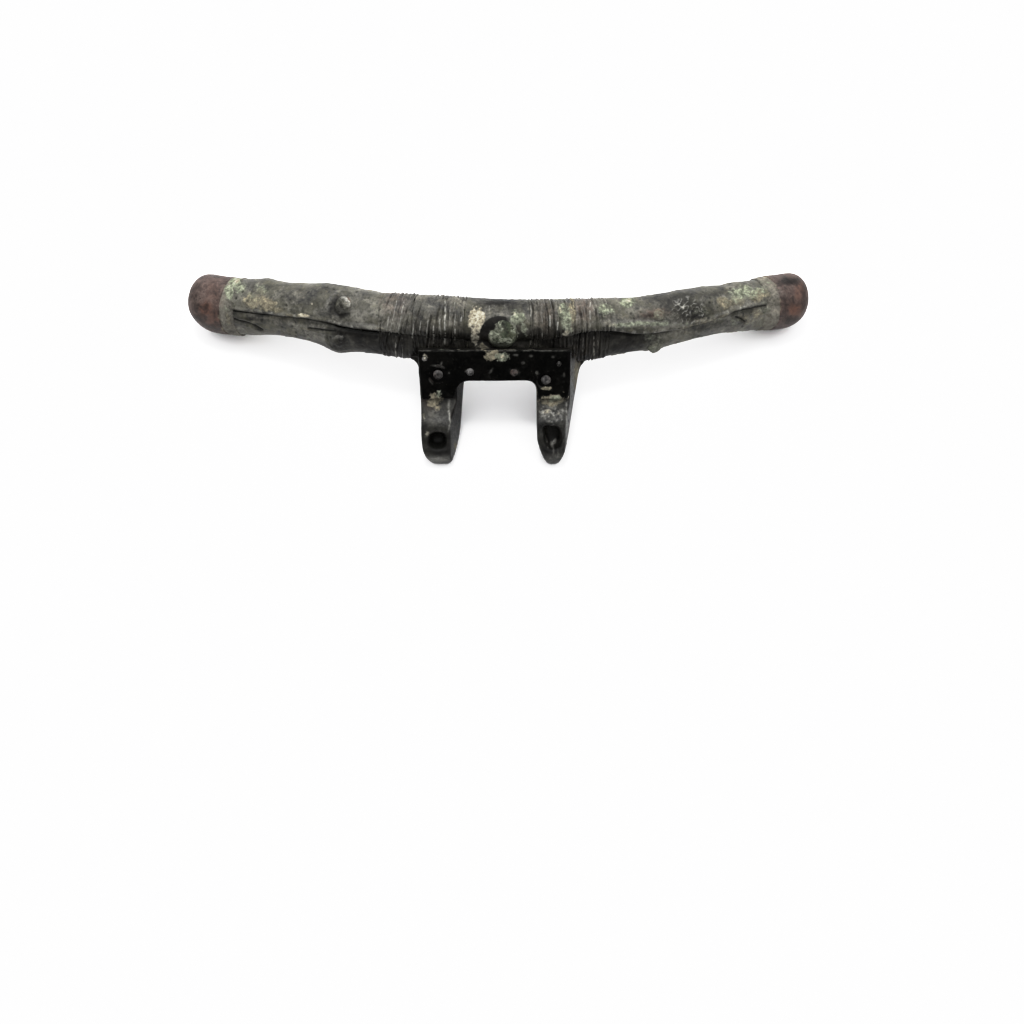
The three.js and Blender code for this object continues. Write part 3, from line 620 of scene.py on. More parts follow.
def deposits(p, n, kinds=None, seed=3, spread=1.0):
    """Masks of the front deposits, painted shade and painted highlights, and scattered deposits on the sides that face
    away.
    """
    U, S = chart(p)
    facing = sstep(-0.1, 0.2, n @ VIEW_OWN)
    wob = 0.55 * fbm(p, 1.3, 4, seed, 0.6) + 0.3 * fbm(p, 0.4, 3, seed + 5, 0.6)
    out = {k: np.zeros(len(p)) for k in MASKS}
    for kind, cu, cv, ru, rv, turn, s in PATCHES:
        cx, cy = C(cu, cv)
        du, dv = U - cx, S - cy
        a = math.radians(turn)
        ex = (du * math.cos(a) + dv * math.sin(a)) / (ru * 0.1559)
        ey = (-du * math.sin(a) + dv * math.cos(a)) / (rv * 0.1559)
        near = (np.abs(ex) < 2.2) & (np.abs(ey) < 2.2)
        if not near.any():
            continue
        r = np.hypot(ex, ey) + wob
        m = sstep(1.7, 0.1, r) * s * facing * near
        out[kind] = np.maximum(out[kind], m)
    away = 1 - facing
    t = fbm(p, 4.5, 4, seed + 40)
    g = fbm(p, 3.8, 4, seed + 60)
    out["tan"] = np.maximum(out["tan"], away * sstep(0.0, 0.45, t) * 0.8 * spread)
    out["green"] = np.maximum(out["green"], away * sstep(0.05, 0.5, g) * 0.75 * spread)
    out["white"] = np.maximum(out["white"], away * sstep(0.3, 0.6, fbm(p, 2.2, 3, seed + 80)) * 0.8 * spread)
    # thin general bloom on the front as well
    calm = facing * (0.12 + 0.88 * sstep(16.0, 19.0, np.abs(U)))
    out["tan"] = np.maximum(out["tan"], calm * sstep(0.05, 0.5, fbm(p, 2.1, 4, seed + 43)) * 0.42)
    out["green"] = np.maximum(out["green"], calm * sstep(0.1, 0.5, fbm(p, 1.9, 4, seed + 63)) * 0.40)
    out["red"] = np.maximum(out["red"], away * sstep(0.1, 0.5, fbm(p, 7.0, 3, seed + 90)) * 0.5)
    return U, S, facing, out


def crust(m):
    return sstep(0.45, 0.95, np.maximum(m["tan"], np.maximum(m["green"], m["white"])))


def lumps(p, masks, seed=11):
    """Thickness of the deposits, in mm."""
    rough = 0.55 + 0.5 * fbm(p, 0.55, 3, seed) + 0.35 * (0.5 - cells(p, 0.5, seed))
    top = np.maximum(np.maximum(masks["tan"], masks["green"]), masks["white"])
    return sstep(0.35, 1.0, top) * (0.05 + 0.14 * rough)


def skin(p, seed=1, low=0.09, mid=0.05, fine=0.02, pits=0.09):
    """General unevenness of an old casting, and its pits."""
    d = low * fbm(p, 6.5, 3, seed) + mid * fbm(p, 1.7, 3, seed + 2) + fine * fbm(p, 0.45, 2, seed + 4)
    c = cells(p, 0.95, seed + 6)
    gate = sstep(0.02, 0.35, fbm(p, 3.2, 3, seed + 8))
    pit = sstep(0.34, 0.1, c) * gate
    return d - pits * pit, pit


# ------------------------------------------------------------------ bar
BANDS = {
    "binding_left_outer": (-17.75, -12.70),
    "binding_left_inner": (-12.64, -4.9),
    "binding_right_inner": (4.6, 10.1),
    "binding_right_outer": (10.16, 16.7),
}
BAR_ENDS = (-41.0, 41.3)
AXIS_Z = -1.1


def outline(x, th, gap=0.12):
    """Distance from the bar's middle line to its two-lobed outline; th is 0 at the front."""
    z1, r1, zs, w, h = lobes(x)
    dy, dz = -np.cos(th), np.sin(th)
    k = dz * (z1 - AXIS_Z)
    rc = k + np.sqrt(np.maximum(r1 ** 2 - (z1 - AXIS_Z) ** 2 + k ** 2, 0.01))
    ce = zs - gap
    oz = (AXIS_Z - ce) / h
    A = (dy / w) ** 2 + (dz / h) ** 2
    Bq = oz * dz / h
    re = (-Bq + np.sqrt(np.maximum(Bq ** 2 - A * (oz ** 2 - 1), 0))) / A
    below = AXIS_Z + rc * dz < zs
    with np.errstate(divide="ignore", invalid="ignore"):
        rp = (zs - AXIS_Z) / dz
    rp = np.where(below & (rp > 0) & (rp < rc), rp, 0.0)  # underside of the overhanging upper lobe
    best = np.maximum(np.where(below, rp, rc), np.where(AXIS_Z + re * dz > zs - gap, 0.0, re))
    return np.where(best > 0.5, best, np.minimum(rc, re))


def ring_points(x, th, extra=0.0):
    R = outline(x, th) + extra
    return bend(x, -R * np.cos(th), AXIS_Z + R * np.sin(th))


def band_inset(x):
    """How far the bar is let in under its bindings, in mm."""
    d = np.zeros_like(x)
    for a, b in BANDS.values():
        d = np.maximum(d, sstep(a - 0.03, a + 0.09, x) * sstep(b + 0.03, b - 0.09, x))
    return 0.42 * d


def seam_back(x):
    return -0.9 + 0.5 * np.sin(x / 9.0) + 0.2 * np.sin(x / 2.7)


def upper_grid(x0, x1, step, na=150, nb=18):
    xs = np.linspace(x0, x1, int(round((x1 - x0) / step)) + 1)
    z1, r1, zs, w, h = lobes(xs)
    tf = np.arcsin(np.clip((zs - z1) / r1, -0.95, 0.95))
    tb = np.arcsin(np.clip((seam_back(xs) - z1) / r1, -0.95, 0.95))
    t = np.linspace(0, 1, na)
    th = tf[:, None] + (math.pi - tb - tf)[:, None] * t
    y = -r1[:, None] * np.cos(th)
    z = z1[:, None] + r1[:, None] * np.sin(th)
    s = np.linspace(0, 1, nb + 2)[1:-1]
    yc = y[:, -1:] + (y[:, :1] - y[:, -1:]) * s
    zc = z[:, -1:] + (z[:, :1] - z[:, -1:]) * s
    Y = np.hstack([y, yc]); Z = np.hstack([z, zc])
    X = np.repeat(xs[:, None], Y.shape[1], 1)
    return bend(X, Y, Z)


def lower_grid(x0, x1, step, na=130, nb=18, gap=0.14):
    xs = np.linspace(x0, x1, int(round((x1 - x0) / step)) + 1)
    z1, r1, zs, w, h = lobes(xs)
    f = np.linspace(0, math.pi, na)
    back = seam_back(xs)[:, None]
    front = zs[:, None]
    s = 0.5 - 0.5 * np.cos(f)
    top = front + (back - front) * s - gap
    bottom = (zs - h)[:, None]
    y = -w[:, None] * np.cos(f)
    z = top + (bottom - top) * np.sin(f) ** 0.96
    c = np.linspace(0, 1, nb + 2)[1:-1]
    yc = y[:, -1:] + (y[:, :1] - y[:, -1:]) * c
    zc = z[:, -1:] + (z[:, :1] - z[:, -1:]) * c
    Y = np.hstack([y, yc]); Z = np.hstack([z, zc])
    X = np.repeat(xs[:, None], Y.shape[1], 1)
    return bend(X, Y, Z)[:, ::-1]


HOLE_X, HOLE_Z, HOLE_R = 0.1, -0.92, 2.9


def hole_cutter():
    """A worn, slightly oval hole, widened at its mouth."""
    na, rows = 96, []
    for y, k in ((-9.0, 1.08), (-4.6, 1.05), (-3.9, 1.0), (-3.2, 0.985), (-2.4, 0.97), (-1.62, 0.97)):
        a = np.linspace(0, 2 * math.pi, na, endpoint=False)
        r = HOLE_R * k * (1 + 0.03 * np.sin(2 * a + 0.7) + 0.022 * np.sin(5 * a) + 0.014 * np.sin(9 * a + 1))
        r = r * (1 - 0.085 * np.exp(-((a - 0.72) / 0.42) ** 2))
        rows.append(np.stack([HOLE_X + r * 1.02 * np.cos(a), np.full(na, y), HOLE_Z + r * 0.97 * np.sin(a)], 1))
    return grid_mesh("hole", np.array(rows)[:, ::-1])


CRACKS_LOW = [((232, 319), (247, 323), (255, 326), (262, 330)), ((309, 328.5), (322, 329.5), (336, 330.5)), ((736, 317), (741, 319), (745, 322))]


def chart_line(U, S, pts):
    """Distance in mm on the chart to a polyline."""
    best = np.full(len(U), 99.0)
    P = [C(*q) for q in pts]
    for (ax, ay), (bx, by) in zip(P[:-1], P[1:]):
        dx, dy = bx - ax, by - ay
        t = np.clip(((U - ax) * dx + (S - ay) * dy) / (dx * dx + dy * dy), 0, 1)
        best = np.minimum(best, np.hypot(U - ax - t * dx, S - ay - t * dy))
    return best


def shade_front(U, S, facing, m, p):
    """Painted shade darkening the hub and the inner bindings towards the plate."""
    w = 0.9 * fbm(p, 2.2, 4, 71)
    dark = sstep(17.5, 11.0, np.abs(U + 0.5)) * sstep(0.3, -1.9, S + w) * facing
    m["black_and_shade"] = np.maximum(m["black_and_shade"], dark * 0.88)
    m["black_and_shade"] *= 1 - 0.85 * crust(m)


STUDS = {"left_upper": (-23.2, 2.45, 1.45), "left_lower": (-24.3, -2.95, 1.35), "right_upper": (24.0, 0.75, 1.05), "right_lower": (24.1, -4.75, 1.2)}


def stud_centre(name):
    x, z, r = STUDS[name]
    z1, r1, zs, w, h = (float(v) for v in lobes(np.array(x)))
    a, b, zc = (r1, r1, z1) if z > zs else (w, h, zs - 0.1)
    c = math.sqrt(1 - ((z - zc) / b) ** 2)
    return bend(np.array([x]), np.array([-a * c]), np.array([z]))[0], r


def stud_halo(p, m, names):
    """Worn hollow round each stud, with painted shadow below and to the left of it and a painted highlight on its upper
    side.
    """
    d = np.zeros(len(p))
    for nm in names:
        c, r = stud_centre(nm)
        q = p - c
        dist = np.linalg.norm(q, axis=1) + 0.42 * fbm(p, 1.0, 3, 201)
        k = {"left_upper": 1.2, "left_lower": 0.55}.get(nm, 0.3)
        # painted shade on the lower side of the left lower stud
        if nm == "left_lower":
            m["black_and_shade"] = np.maximum(m["black_and_shade"], 0.85 * np.exp(-((dist - 0.2) / 1.7) ** 4) * sstep(0.9, -0.5, q[:, 2] - 0.4 * q[:, 0]))
        if nm == "right_lower":
            d += 0.45 * np.exp(-(dist / 1.9) ** 2)
            m["green"] = np.maximum(m["green"], 0.5 * np.exp(-(dist / 2.6) ** 4))
            m["black_and_shade"] = np.maximum(m["black_and_shade"], 0.55 * np.exp(-(dist / 2.4) ** 4))
            continue
        # painted shadow in the ring below and left of the stud, painted highlight on the outer ring above it
        ring = np.exp(-((dist - r * 1.18) / 0.42) ** 2)
        where = 0.25 + 0.75 * sstep(0.7, -0.7, q[:, 0] + 0.9 * q[:, 2])
        d -= 0.22 * k * ring * where
        d += 0.06 * k * np.exp(-((dist - r * 1.75) / 0.4) ** 2)
        m["black_and_shade"] = np.maximum(m["black_and_shade"], 0.8 * k * ring * where)
        m["worn"] = np.maximum(m["worn"], 0.5 * k * np.exp(-((dist - r * 1.75) / 0.3) ** 2) * sstep(-0.4, 0.6, q[:, 2] - 0.5 * q[:, 0]))
    return d


def paint_top(p, n):
    U, S, facing, m = deposits(p, n)
    d, pit = skin(p, 1)
    x, y, z = unbend(p)
    zs = sec(x, 3)
    hgt = z - zs
    front = (y < 0) & (np.abs(x) > 4)
    # rolled lip along the front seam, with wear and a painted highlight along it
    lip = np.exp(-((hgt - 0.32) / 0.26) ** 2) * front
    d += lip * (0.20 + 0.14 * fbm(p, 1.6, 2, 31)) * (0.35 + 0.65 * sstep(-20, -27, x) + 0.5 * sstep(16, 20, x))
    # second fine ridge above it on the left horn
    lip2 = np.exp(-((hgt - 1.0 - 0.25 * np.sin(x / 3.0)) / 0.22) ** 2) * front * sstep(-24, -27, x) * sstep(-36, -32, x)
    d += lip2 * 0.1
    m["worn"] = np.maximum(m["worn"], lip * 0.62 * facing * sstep(-0.2, 0.35, fbm(p, 1.3, 2, 33)))
    # squirming ridges on the right horn, with painted highlights on them and painted shade between them
    cx, cy = C(688, 312)
    zone = sstep(1.25, 0.7, np.hypot((U - cx) / (19 * 0.1559), (S - cy) / (14 * 0.1559)) + 0.3 * fbm(p, 1.6, 3, 92)) * facing
    sq = sstep(0.13, 0.03, np.abs(perlin(p + 0.35 * fbm(p, 1.4, 2, 93)[:, None], 0.8, 91))) * zone
    d += sq * 0.13 - 0.05 * zone
    m["white"] *= 1 - 0.7 * zone
    m["painted_highlight"] = sq * 0.75 * sstep(-0.35, 0.15, fbm(p, 1.1, 2, 96))
    m["black_and_shade"] = np.maximum(m["black_and_shade"], zone * (1 - sq) * 0.6)
    d += stud_halo(p, m, ("left_upper", "right_upper"))
    # the seam is choked with crust along part of the right horn
    choke = sstep(25.0, 27.5, x) * sstep(36.0, 34.5, x)
    d += 0.2 * choke * np.exp(-((hgt - 0.1) / 0.35) ** 2) * (y < 0)
    m["tan"] = np.maximum(m["tan"], choke * 0.6 * np.exp(-(hgt / 0.6) ** 2) * (y < 0))
    d += lumps(p, m)
    d -= band_inset(x)
    hole = np.hypot((p[:, 0] - HOLE_X) / 1.02, (p[:, 2] - HOLE_Z) / 0.97)
    rim = np.exp(-((hole - HOLE_R * 1.08) / 0.22) ** 2) * (p[:, 1] < -2) * facing
    d += rim * 0.06
    m["worn"] = np.maximum(m["worn"], rim * 0.4 * sstep(-0.1, 0.4, fbm(p, 1.1, 2, 35)))
    # fine turned lines on the hub, with painted highlights along them
    e = p[:, 0] + 0.06 * fbm(p, 1.8, 2, 36)
    fine = np.sin(e * 2 * math.pi / 0.8) * sstep(4.4, 3.9, np.abs(p[:, 0])) * sstep(-0.1, 0.35, fbm(p, 1.8, 3, 37))
    d += 0.03 * fine * (hole > HOLE_R * 1.1)
    m["worn"] = np.maximum(m["worn"], 0.5 * sstep(0.6, 1.0, fine) * facing)
    # painted shade inside the hole, except on the wall where green crust is painted
    inside = sstep(HOLE_R * 1.02, HOLE_R * 0.985, hole) * (p[:, 1] < 0)
    bear = sstep(1.5, 2.3, p[:, 0] + 0.2 * (p[:, 2] + 0.92)) * inside
    for k in ("white", "tan", "green"):
        m[k] *= 1 - inside
    m["green"] = np.maximum(m["green"], 0.6 * bear)
    d *= 1 - 0.7 * inside
    m["black_and_shade"] = np.maximum(m["black_and_shade"], inside - bear)
    shade_front(U, S, facing, m, p)
    crack = np.exp(-(np.abs(hgt + 0.02) / 0.24) ** 2) * front * (1 - 0.85 * choke)
    m["pit"] = np.maximum(pit * 0.8, crack * 0.9)
    # painted highlights along the lip and along the turned lines
    m["painted_highlight"] = np.maximum(m["painted_highlight"], 0.55 * lip * facing * sstep(0.1, 0.45, fbm(p, 0.9, 3, 38)) * sstep(16, 18, np.abs(x)))
    m["painted_highlight"] = np.maximum(m["painted_highlight"], 0.5 * sstep(0.75, 1.0, fine) * facing * sstep(0.0, 0.3, fbm(p, 1.2, 2, 39)))
    rise = sstep(0.0, 0.85, n @ np.array([0.0, math.sin(VIEW_DELTA), math.cos(VIEW_DELTA)]))
    d += rise * (0.40 * np.exp(-((x + 26.5) / 3.6) ** 2) + 0.36 * np.exp(-((x + 37.0) / 2.0) ** 2) + 0.10 * perlin(np.stack([x, 0 * x, 0 * x], 1), 2.3, 57) * sstep(17, 19, np.abs(x)))
    # painted light: paler where faces turn up towards the lamp
    up = sstep(0.2, 0.9, (n @ np.array([0, SB, CB])))
    m["worn"] = np.maximum(m["worn"], 0.25 * up * sstep(-0.2, 0.4, fbm(p, 3.0, 3, 55)))
    return d, m


def paint_low(p, n):
    U, S, facing, m = deposits(p, n, seed=4)
    d, pit = skin(p, 21)
    x, y, z = unbend(p)
    d += lumps(p, m, 12)
    d -= band_inset(x)
    crack = np.zeros(len(p))
    for line in CRACKS_LOW:
        r = chart_line(U, S, line) + 0.05 * fbm(p, 0.8, 2, 61)
        crack = np.maximum(crack, np.exp(-(r / 0.16) ** 2) * facing)
        d += 0.09 * np.exp(-((r - 0.42) / 0.2) ** 2) * facing
    d -= 0.32 * crack
    hgt = sec(x, 3) - z
    choke = sstep(25.0, 27.5, x) * sstep(36.0, 34.5, x)
    d += 0.2 * choke * np.exp(-((hgt - 0.15) / 0.35) ** 2) * (y < 0)
    m["tan"] = np.maximum(m["tan"], choke * 0.6 * np.exp(-(hgt / 0.6) ** 2) * (y < 0))
    d += stud_halo(p, m, ("left_lower", "right_lower"))
    # swelling of the strip under its left stud
    d += 0.62 * np.exp(-((x + 25.1) / 1.9) ** 2) * sstep(0.35, -0.55, n[:, 2])
    # long drawn grooves of the strip
    g = perlin(np.stack([x * 0.12, y, z], 1), 0.8, 64)
    d += 0.035 * g * facing
    shade_front(U, S, facing, m, p)
    # deep shade under the overhang
    zs = sec(x, 3)
    under = sstep(1.3, 0.15, zs - z) * (y < 0) * facing * (0.5 + 0.5 * np.maximum(sstep(8, 11, x) * sstep(26, 22, x), sstep(-27.5, -23.5, x) * sstep(-8, -11, x))) * (1 - 0.8 * choke)
    m["black_and_shade"] = np.maximum(m["black_and_shade"], under * 0.97 * (1 - 0.4 * m["green"]))
    gap = under * np.maximum(sstep(8, 11, x) * sstep(24, 20, x), sstep(-27.0, -22.5, x) * sstep(-8, -11, x))
    d -= 0.28 * sstep(0.3, 0.9, gap)
    # painted shade over the front of the lower strips towards the middle
    flank_shade = sstep(26.5, 21.0, np.abs(x - 0.5) + 2.0 * fbm(p, 3.0, 3, 66)) * facing * 0.97
    m["black_and_shade"] = np.maximum(m["black_and_shade"], flank_shade * (1 - 0.8 * np.maximum(m["tan"], m["green"])))
    m["pit"] = np.maximum.reduce([pit * 0.8, crack, 0.85 * gap])
    m["worn"] = np.maximum(m["worn"], 0.35 * facing * sstep(0.0, 0.5, g) * sstep(12, 20, np.abs(x)))
    m["worn"] *= 1 - 0.85 * np.clip(m["black_and_shade"], 0, 1)
    return d, m


def make_bar():
    step = 0.16
    vox = 0.145
    up = grid_mesh("up", upper_grid(*BAR_ENDS, step))
    xs = np.linspace(-4.5, 4.5, 61)
    th = np.linspace(0, 2 * math.pi, 140, endpoint=False)
    X, T = np.meshgrid(xs, th, indexing="ij")
    hub = grid_mesh("hub", ring_points(X, T, 0.0)[:, ::-1])
    m = remesh(join([up, hub]), vox, 2)
    m = cut(m, [hole_cutter()])
    finish_piece("bar_top_surface", m, "cleat", ["bar_top"], BAR, paint_top)
    for side, x0, x1 in (("left", BAR_ENDS[0], -4.55), ("right", 4.55, BAR_ENDS[1])):
        g = grid_mesh("low", lower_grid(x0, x1, step))
        g = remesh(g, vox, 1)
        finish_piece(f"lower_strip_{side}_surface", g, "cleat", [f"lower_strip_{side}"], BAR, paint_low)


# ------------------------------------------------------------------ bindings
GROOVES = {
    # position along the bar, lean with height, depth, width
    "binding_left_outer": [(-17.3, 0.22, 0.16, 0.10), (-16.7, 0.26, 0.10, 0.07), (-15.95, 0.28, 0.20, 0.11), (-15.3, 0.28, 0.10, 0.07), (-14.1, 0.28, 0.22, 0.12), (-13.5, 0.26, 0.18, 0.09), (-14.7, 0.28, 0.08, 0.06)],
    "binding_left_inner": [(-12.1, 0.2, 0.20, 0.10), (-11.4, 0.2, 0.09, 0.07), (-10.0, 0.18, 0.22, 0.12), (-9.1, 0.17, 0.20, 0.10), (-8.35, 0.15, 0.22, 0.10), (-7.6, 0.12, 0.08, 0.06), (-6.6, 0.1, 0.22, 0.10), (-5.6, 0.08, 0.16, 0.09)],
    "binding_right_inner": [(5.05, 0.0, 0.2, 0.1), (5.8, 0.0, 0.2, 0.11), (6.5, 0.02, 0.09, 0.07), (7.2, -0.01, 0.2, 0.11), (8.1, 0.0, 0.22, 0.11), (8.9, 0.03, 0.18, 0.1)],
    "binding_right_outer": [(11.1, 0.0, 0.22, 0.12), (12.1, 0.02, 0.22, 0.11), (13.0, 0.0, 0.2, 0.11), (13.6, 0.02, 0.1, 0.07), (14.5, 0.02, 0.2, 0.12), (15.35, 0.0, 0.16, 0.1), (16.2, 0.02, 0.12, 0.09)],
}


# painted highlights along single turns of wire, and dark gaps between them: chart column, top row, bottom row, lean
# (columns per row), strength
HIGHLIGHT_STREAKS = [(433.7, 325, 343, 0.0, 0.9), (445, 303, 343, 0.0, 1.0), (455, 304, 342, 0.0, 1.0), (461, 315, 323, 0.0, 0.9), (440, 318, 334, 0.0, 0.5),
           (449.5, 300, 325, 0.0, 0.45), (466, 302, 318, 0.0, 0.4), (428, 320, 340, 0.05, 0.5), (421, 318, 334, 0.08, 0.6), (414, 322, 338, 0.1, 0.5),
           (397, 300, 334, 0.22, 0.7), (392, 304, 330, 0.22, 0.5), (404, 302, 330, 0.2, 0.45), (410, 306, 330, 0.15, 0.4), (396, 336, 358, 0.0, 0.55),
           (402.5, 338, 360, 0.0, 0.5), (530.5, 308, 343, 0.0, 0.85), (550, 316, 326, 0.0, 0.9), (537, 300, 320, 0.0, 0.4), (542, 304, 338, 0.0, 0.4),
           (558, 322, 336, 0.1, 0.6), (571, 300, 332, 0.0, 0.6), (577, 306, 328, 0.0, 0.35), (590, 302, 326, 0.0, 0.55), (583, 338, 362, 0.0, 0.5),
           (594, 336, 362, 0.0, 0.6), (598, 340, 362, 0.0, 0.35)]
GAPS = [(448, 304, 342, 0.0, 0.7), (437, 312, 343, 0.0, 0.6), (458.5, 306, 340, 0.0, 0.6), (532.8, 302, 345, 0.0, 0.9), (546, 304, 345, 0.0, 0.8),
        (553.7, 306, 345, 0.0, 0.9), (539.5, 302, 344, 0.0, 0.6), (399.5, 334, 360, 0.0, 0.9), (391, 330, 356, 0.05, 0.8), (408, 335, 358, 0.0, 0.7),
        (394.5, 300, 332, 0.22, 0.5), (401, 300, 332, 0.2, 0.5), (580, 330, 362, 0.0, 0.8), (588, 330, 362, 0.0, 0.8), (575, 300, 330, 0.0, 0.5), (586.5, 300, 328, 0.0, 0.5)]


def lines(U, S, rows, width, wob):
    """Thin upright marks on the chart."""
    out = np.zeros(len(U))
    for i, (cu, v0, v1, lean, s) in enumerate(rows):
        x0, s0 = C(cu, v0)
        x1, s1 = C(cu - lean * (v1 - v0), v1)
        t = (S - s0) / (s1 - s0)
        e = U - (x0 + (x1 - x0) * t) - wob
        w = width * (1.0 + 0.5 * math.sin(i * 2.3))
        out = np.maximum(out, s * np.exp(-(e / w) ** 2) * sstep(-0.12, 0.06, t) * sstep(1.12, 0.94, t))
    return out


def paint_band(name):
    marks = GROOVES[name]

    def paint(p, n):
        U, S, facing, m = deposits(p, n, seed=6)
        d, pit = skin(p, 1, pits=0.05)
        x, y, z = unbend(p)
        outer = sstep(-0.3, 0.3, (n[:, 1] * y + n[:, 2] * (z - AXIS_Z)) / np.maximum(np.hypot(y, z - AXIS_Z), 0.1))
        groove = np.zeros(len(p)); ridge = np.zeros(len(p))
        q = np.stack([x * 0.4, y, z], 1)
        for i, (x0, lean, depth, width) in enumerate(marks):
            wav = 0.11 * fbm(q, 2.2, 3, 100 + i)
            e = x - (x0 + lean * z * 0.9 + wav)
            amp = np.clip(0.7 + 0.9 * fbm(q, 2.4, 2, 130 + i), 0.15, 1.3)
            side = np.where(fbm(q, 3.0, 2, 150 + i) > 0, 1.0, -1.0)
            groove = np.maximum(groove, 1.05 * depth * amp * np.exp(-(e / width) ** 2))
            ridge = np.maximum(ridge, 0.85 * depth * amp * np.exp(-((e - 1.9 * width * side) / (0.85 * width)) ** 2))
            ridge = np.maximum(ridge, 0.35 * depth * amp * np.exp(-((e + 2.1 * width * side) / (1.1 * width)) ** 2))
        # faint single turns of wire between them
        fine = np.sin((x + 0.12 * z + 0.07 * fbm(q, 1.5, 2, 170)) * 2 * math.pi / 0.62)
        gate = sstep(-0.15, 0.3, fbm(p, 2.4, 2, 171))
        d += outer * (ridge - groove + 0.045 * fine * gate)
        hair = sstep(0.55, 1.0, fine) * gate * sstep(-0.2, 0.3, fbm(q, 1.8, 3, 175))
        d += lumps(p, m, 14) * outer
        shade_front(U, S, facing, m, p)
        zs = sec(x, 3)
        # painted shade on the winding below the seam and under the overhang
        low = sstep(0.25, -0.25, z - zs) * facing * (y < 0)
        lower_winding_shade = sstep(0.55, -0.35, z - zs + 0.35 * fbm(p, 1.6, 3, 178)) * facing * (y < 0)
        for kk in ("tan", "green", "white"):
            m[kk] *= 1 - 0.85 * lower_winding_shade
        m["black_and_shade"] = np.maximum(m["black_and_shade"], lower_winding_shade * (0.93 + 0.2 * fbm(p, 1.5, 3, 176)) * (1 - 0.5 * crust(m)))
        over = sstep(1.9, 0.2, zs - z) * low * sstep(9.5, 12.0, x)
        m["black_and_shade"] = np.maximum(m["black_and_shade"], over)
        d -= 0.12 * over * outer
        m["pit"] = np.maximum(pit * 0.5, sstep(0.08, 0.24, groove) * 0.68)
        # rubbed wear and painted highlights on the raised turns
        bright = sstep(0.05, 0.16, ridge) * sstep(-0.35, 0.3, fbm(p, 1.5, 3, 173)) * (1 - 0.45 * lower_winding_shade)
        hair *= 1 - 0.45 * lower_winding_shade
        m["worn"] = np.maximum(m["worn"], facing * np.maximum(bright, 0.6 * hair) * (1 - 0.4 * m["black_and_shade"]))
        m["black_and_shade"] *= 1 - 0.75 * np.maximum(bright, 0.5 * hair)
        wob = 0.07 * fbm(q, 1.6, 2, 180)
        brk = sstep(-0.45, 0.15, fbm(p, 0.9, 3, 185))
        # painted highlights along single turns, dark gaps between them
        bright2 = lines(U, S, HIGHLIGHT_STREAKS, 0.10, wob) * facing * brk
        gaps = lines(U, S, GAPS, 0.11, wob) * facing * (0.6 + 0.4 * brk)
        d += outer * (0.14 * bright2 - 0.13 * gaps)
        m["painted_highlight"] = (0.72 - 0.5 * lower_winding_shade) * sstep(0.2, 0.6, bright2)
        m["worn"] = np.maximum(m["worn"], (1 - 0.35 * lower_winding_shade) * sstep(0.1, 0.5, bright2))
        m["black_and_shade"] = np.maximum(m["black_and_shade"] * (1 - 0.9 * sstep(0.1, 0.45, bright2)), 0.8 * gaps)
        m["red"] = m["red"] * 0.55
        return d, m

    return paint


def torus_mesh(name, grid):
    nu, nv, _ = grid.shape
    idx = np.arange(nu * nv).reshape(nu, nv)
    b = np.roll(idx, -1, 0)
    quads = np.stack([idx, b, np.roll(b, -1, 1), np.roll(idx, -1, 1)], -1).reshape(-1, 4)
    return mesh_from(name, grid.reshape(-1, 3), quads.tolist())


def make_bindings():
    nv = 240
    th = np.linspace(0, 2 * math.pi, nv, endpoint=False)
    for name, (a, b) in BANDS.items():
        a, b = a - 0.02, b + 0.02
        n = int((b - a) / (0.075))
        xs = np.linspace(a, b, n)
        ex = np.full(n, 0.02)
        ex[0] = -0.05; ex[-1] = -0.05; ex[1] = ex[-2] = 0.0
        xi = np.linspace(b, a, max(6, n // 6))
        X = np.concatenate([xs, xi]); E = np.concatenate([ex, np.full(len(xi), -0.52)])
        G = np.array([ring_points(np.full(nv, x), th, e) for x, e in zip(X, E)])
        m = torus_mesh(name, G[:, ::-1])
        finish_piece(name + "_winding", m, "cleat", [name], WIRE, paint_band(name))


# ------------------------------------------------------------------ collars and caps
END = {
    "left": dict(s=-1, collar=(40.85, 42.62), cap=42.56, dome=4.85, tip=48.95, r=4.68, z=-0.42, n=3.3, lift=0.75, low=0.2),
    "right": dict(s=1, collar=(41.15, 43.07), cap=43.0, dome=3.95, tip=48.95, r=4.36, z=-0.12, n=3.1, lift=0.65, low=0.1),
}


def paint_collar(p, n):
    U, S, facing, m = deposits(p, n, seed=8)
    d, pit = skin(p, 51, low=0.08, mid=0.09, fine=0.04, pits=0.08)
    d += lumps(p, m, 15) * 0.6
    m["pit"] = pit * 0.5
    m["green"] = np.maximum(m["green"], 0.5 * sstep(0.0, 0.4, fbm(p, 1.6, 3, 181)))
    # stained red towards the cap and dark towards the bar, with painted shade low down on the front
    x, y, z = unbend(p)
    e = END["left"] if x.mean() < 0 else END["right"]
    t = (np.abs(x) - e["collar"][0]) / (e["collar"][1] - e["collar"][0]) + 0.5 * fbm(p, 1.1, 4, 183)
    m["red"] = np.minimum(m["red"], 0.2) + sstep(0.6, 1.1, t) * 0.3
    dk = sstep(0.4, -0.15, t) + sstep(-1.2, -3.2, z) * 0.6 * sstep(0.2, 0.8, facing)
    m["worn"] = np.maximum(m["worn"], 0.5 * facing)
    m["black_and_shade"] = np.clip(dk, 0, 1) * 0.35 * (1 - crust(m))
    return d, m


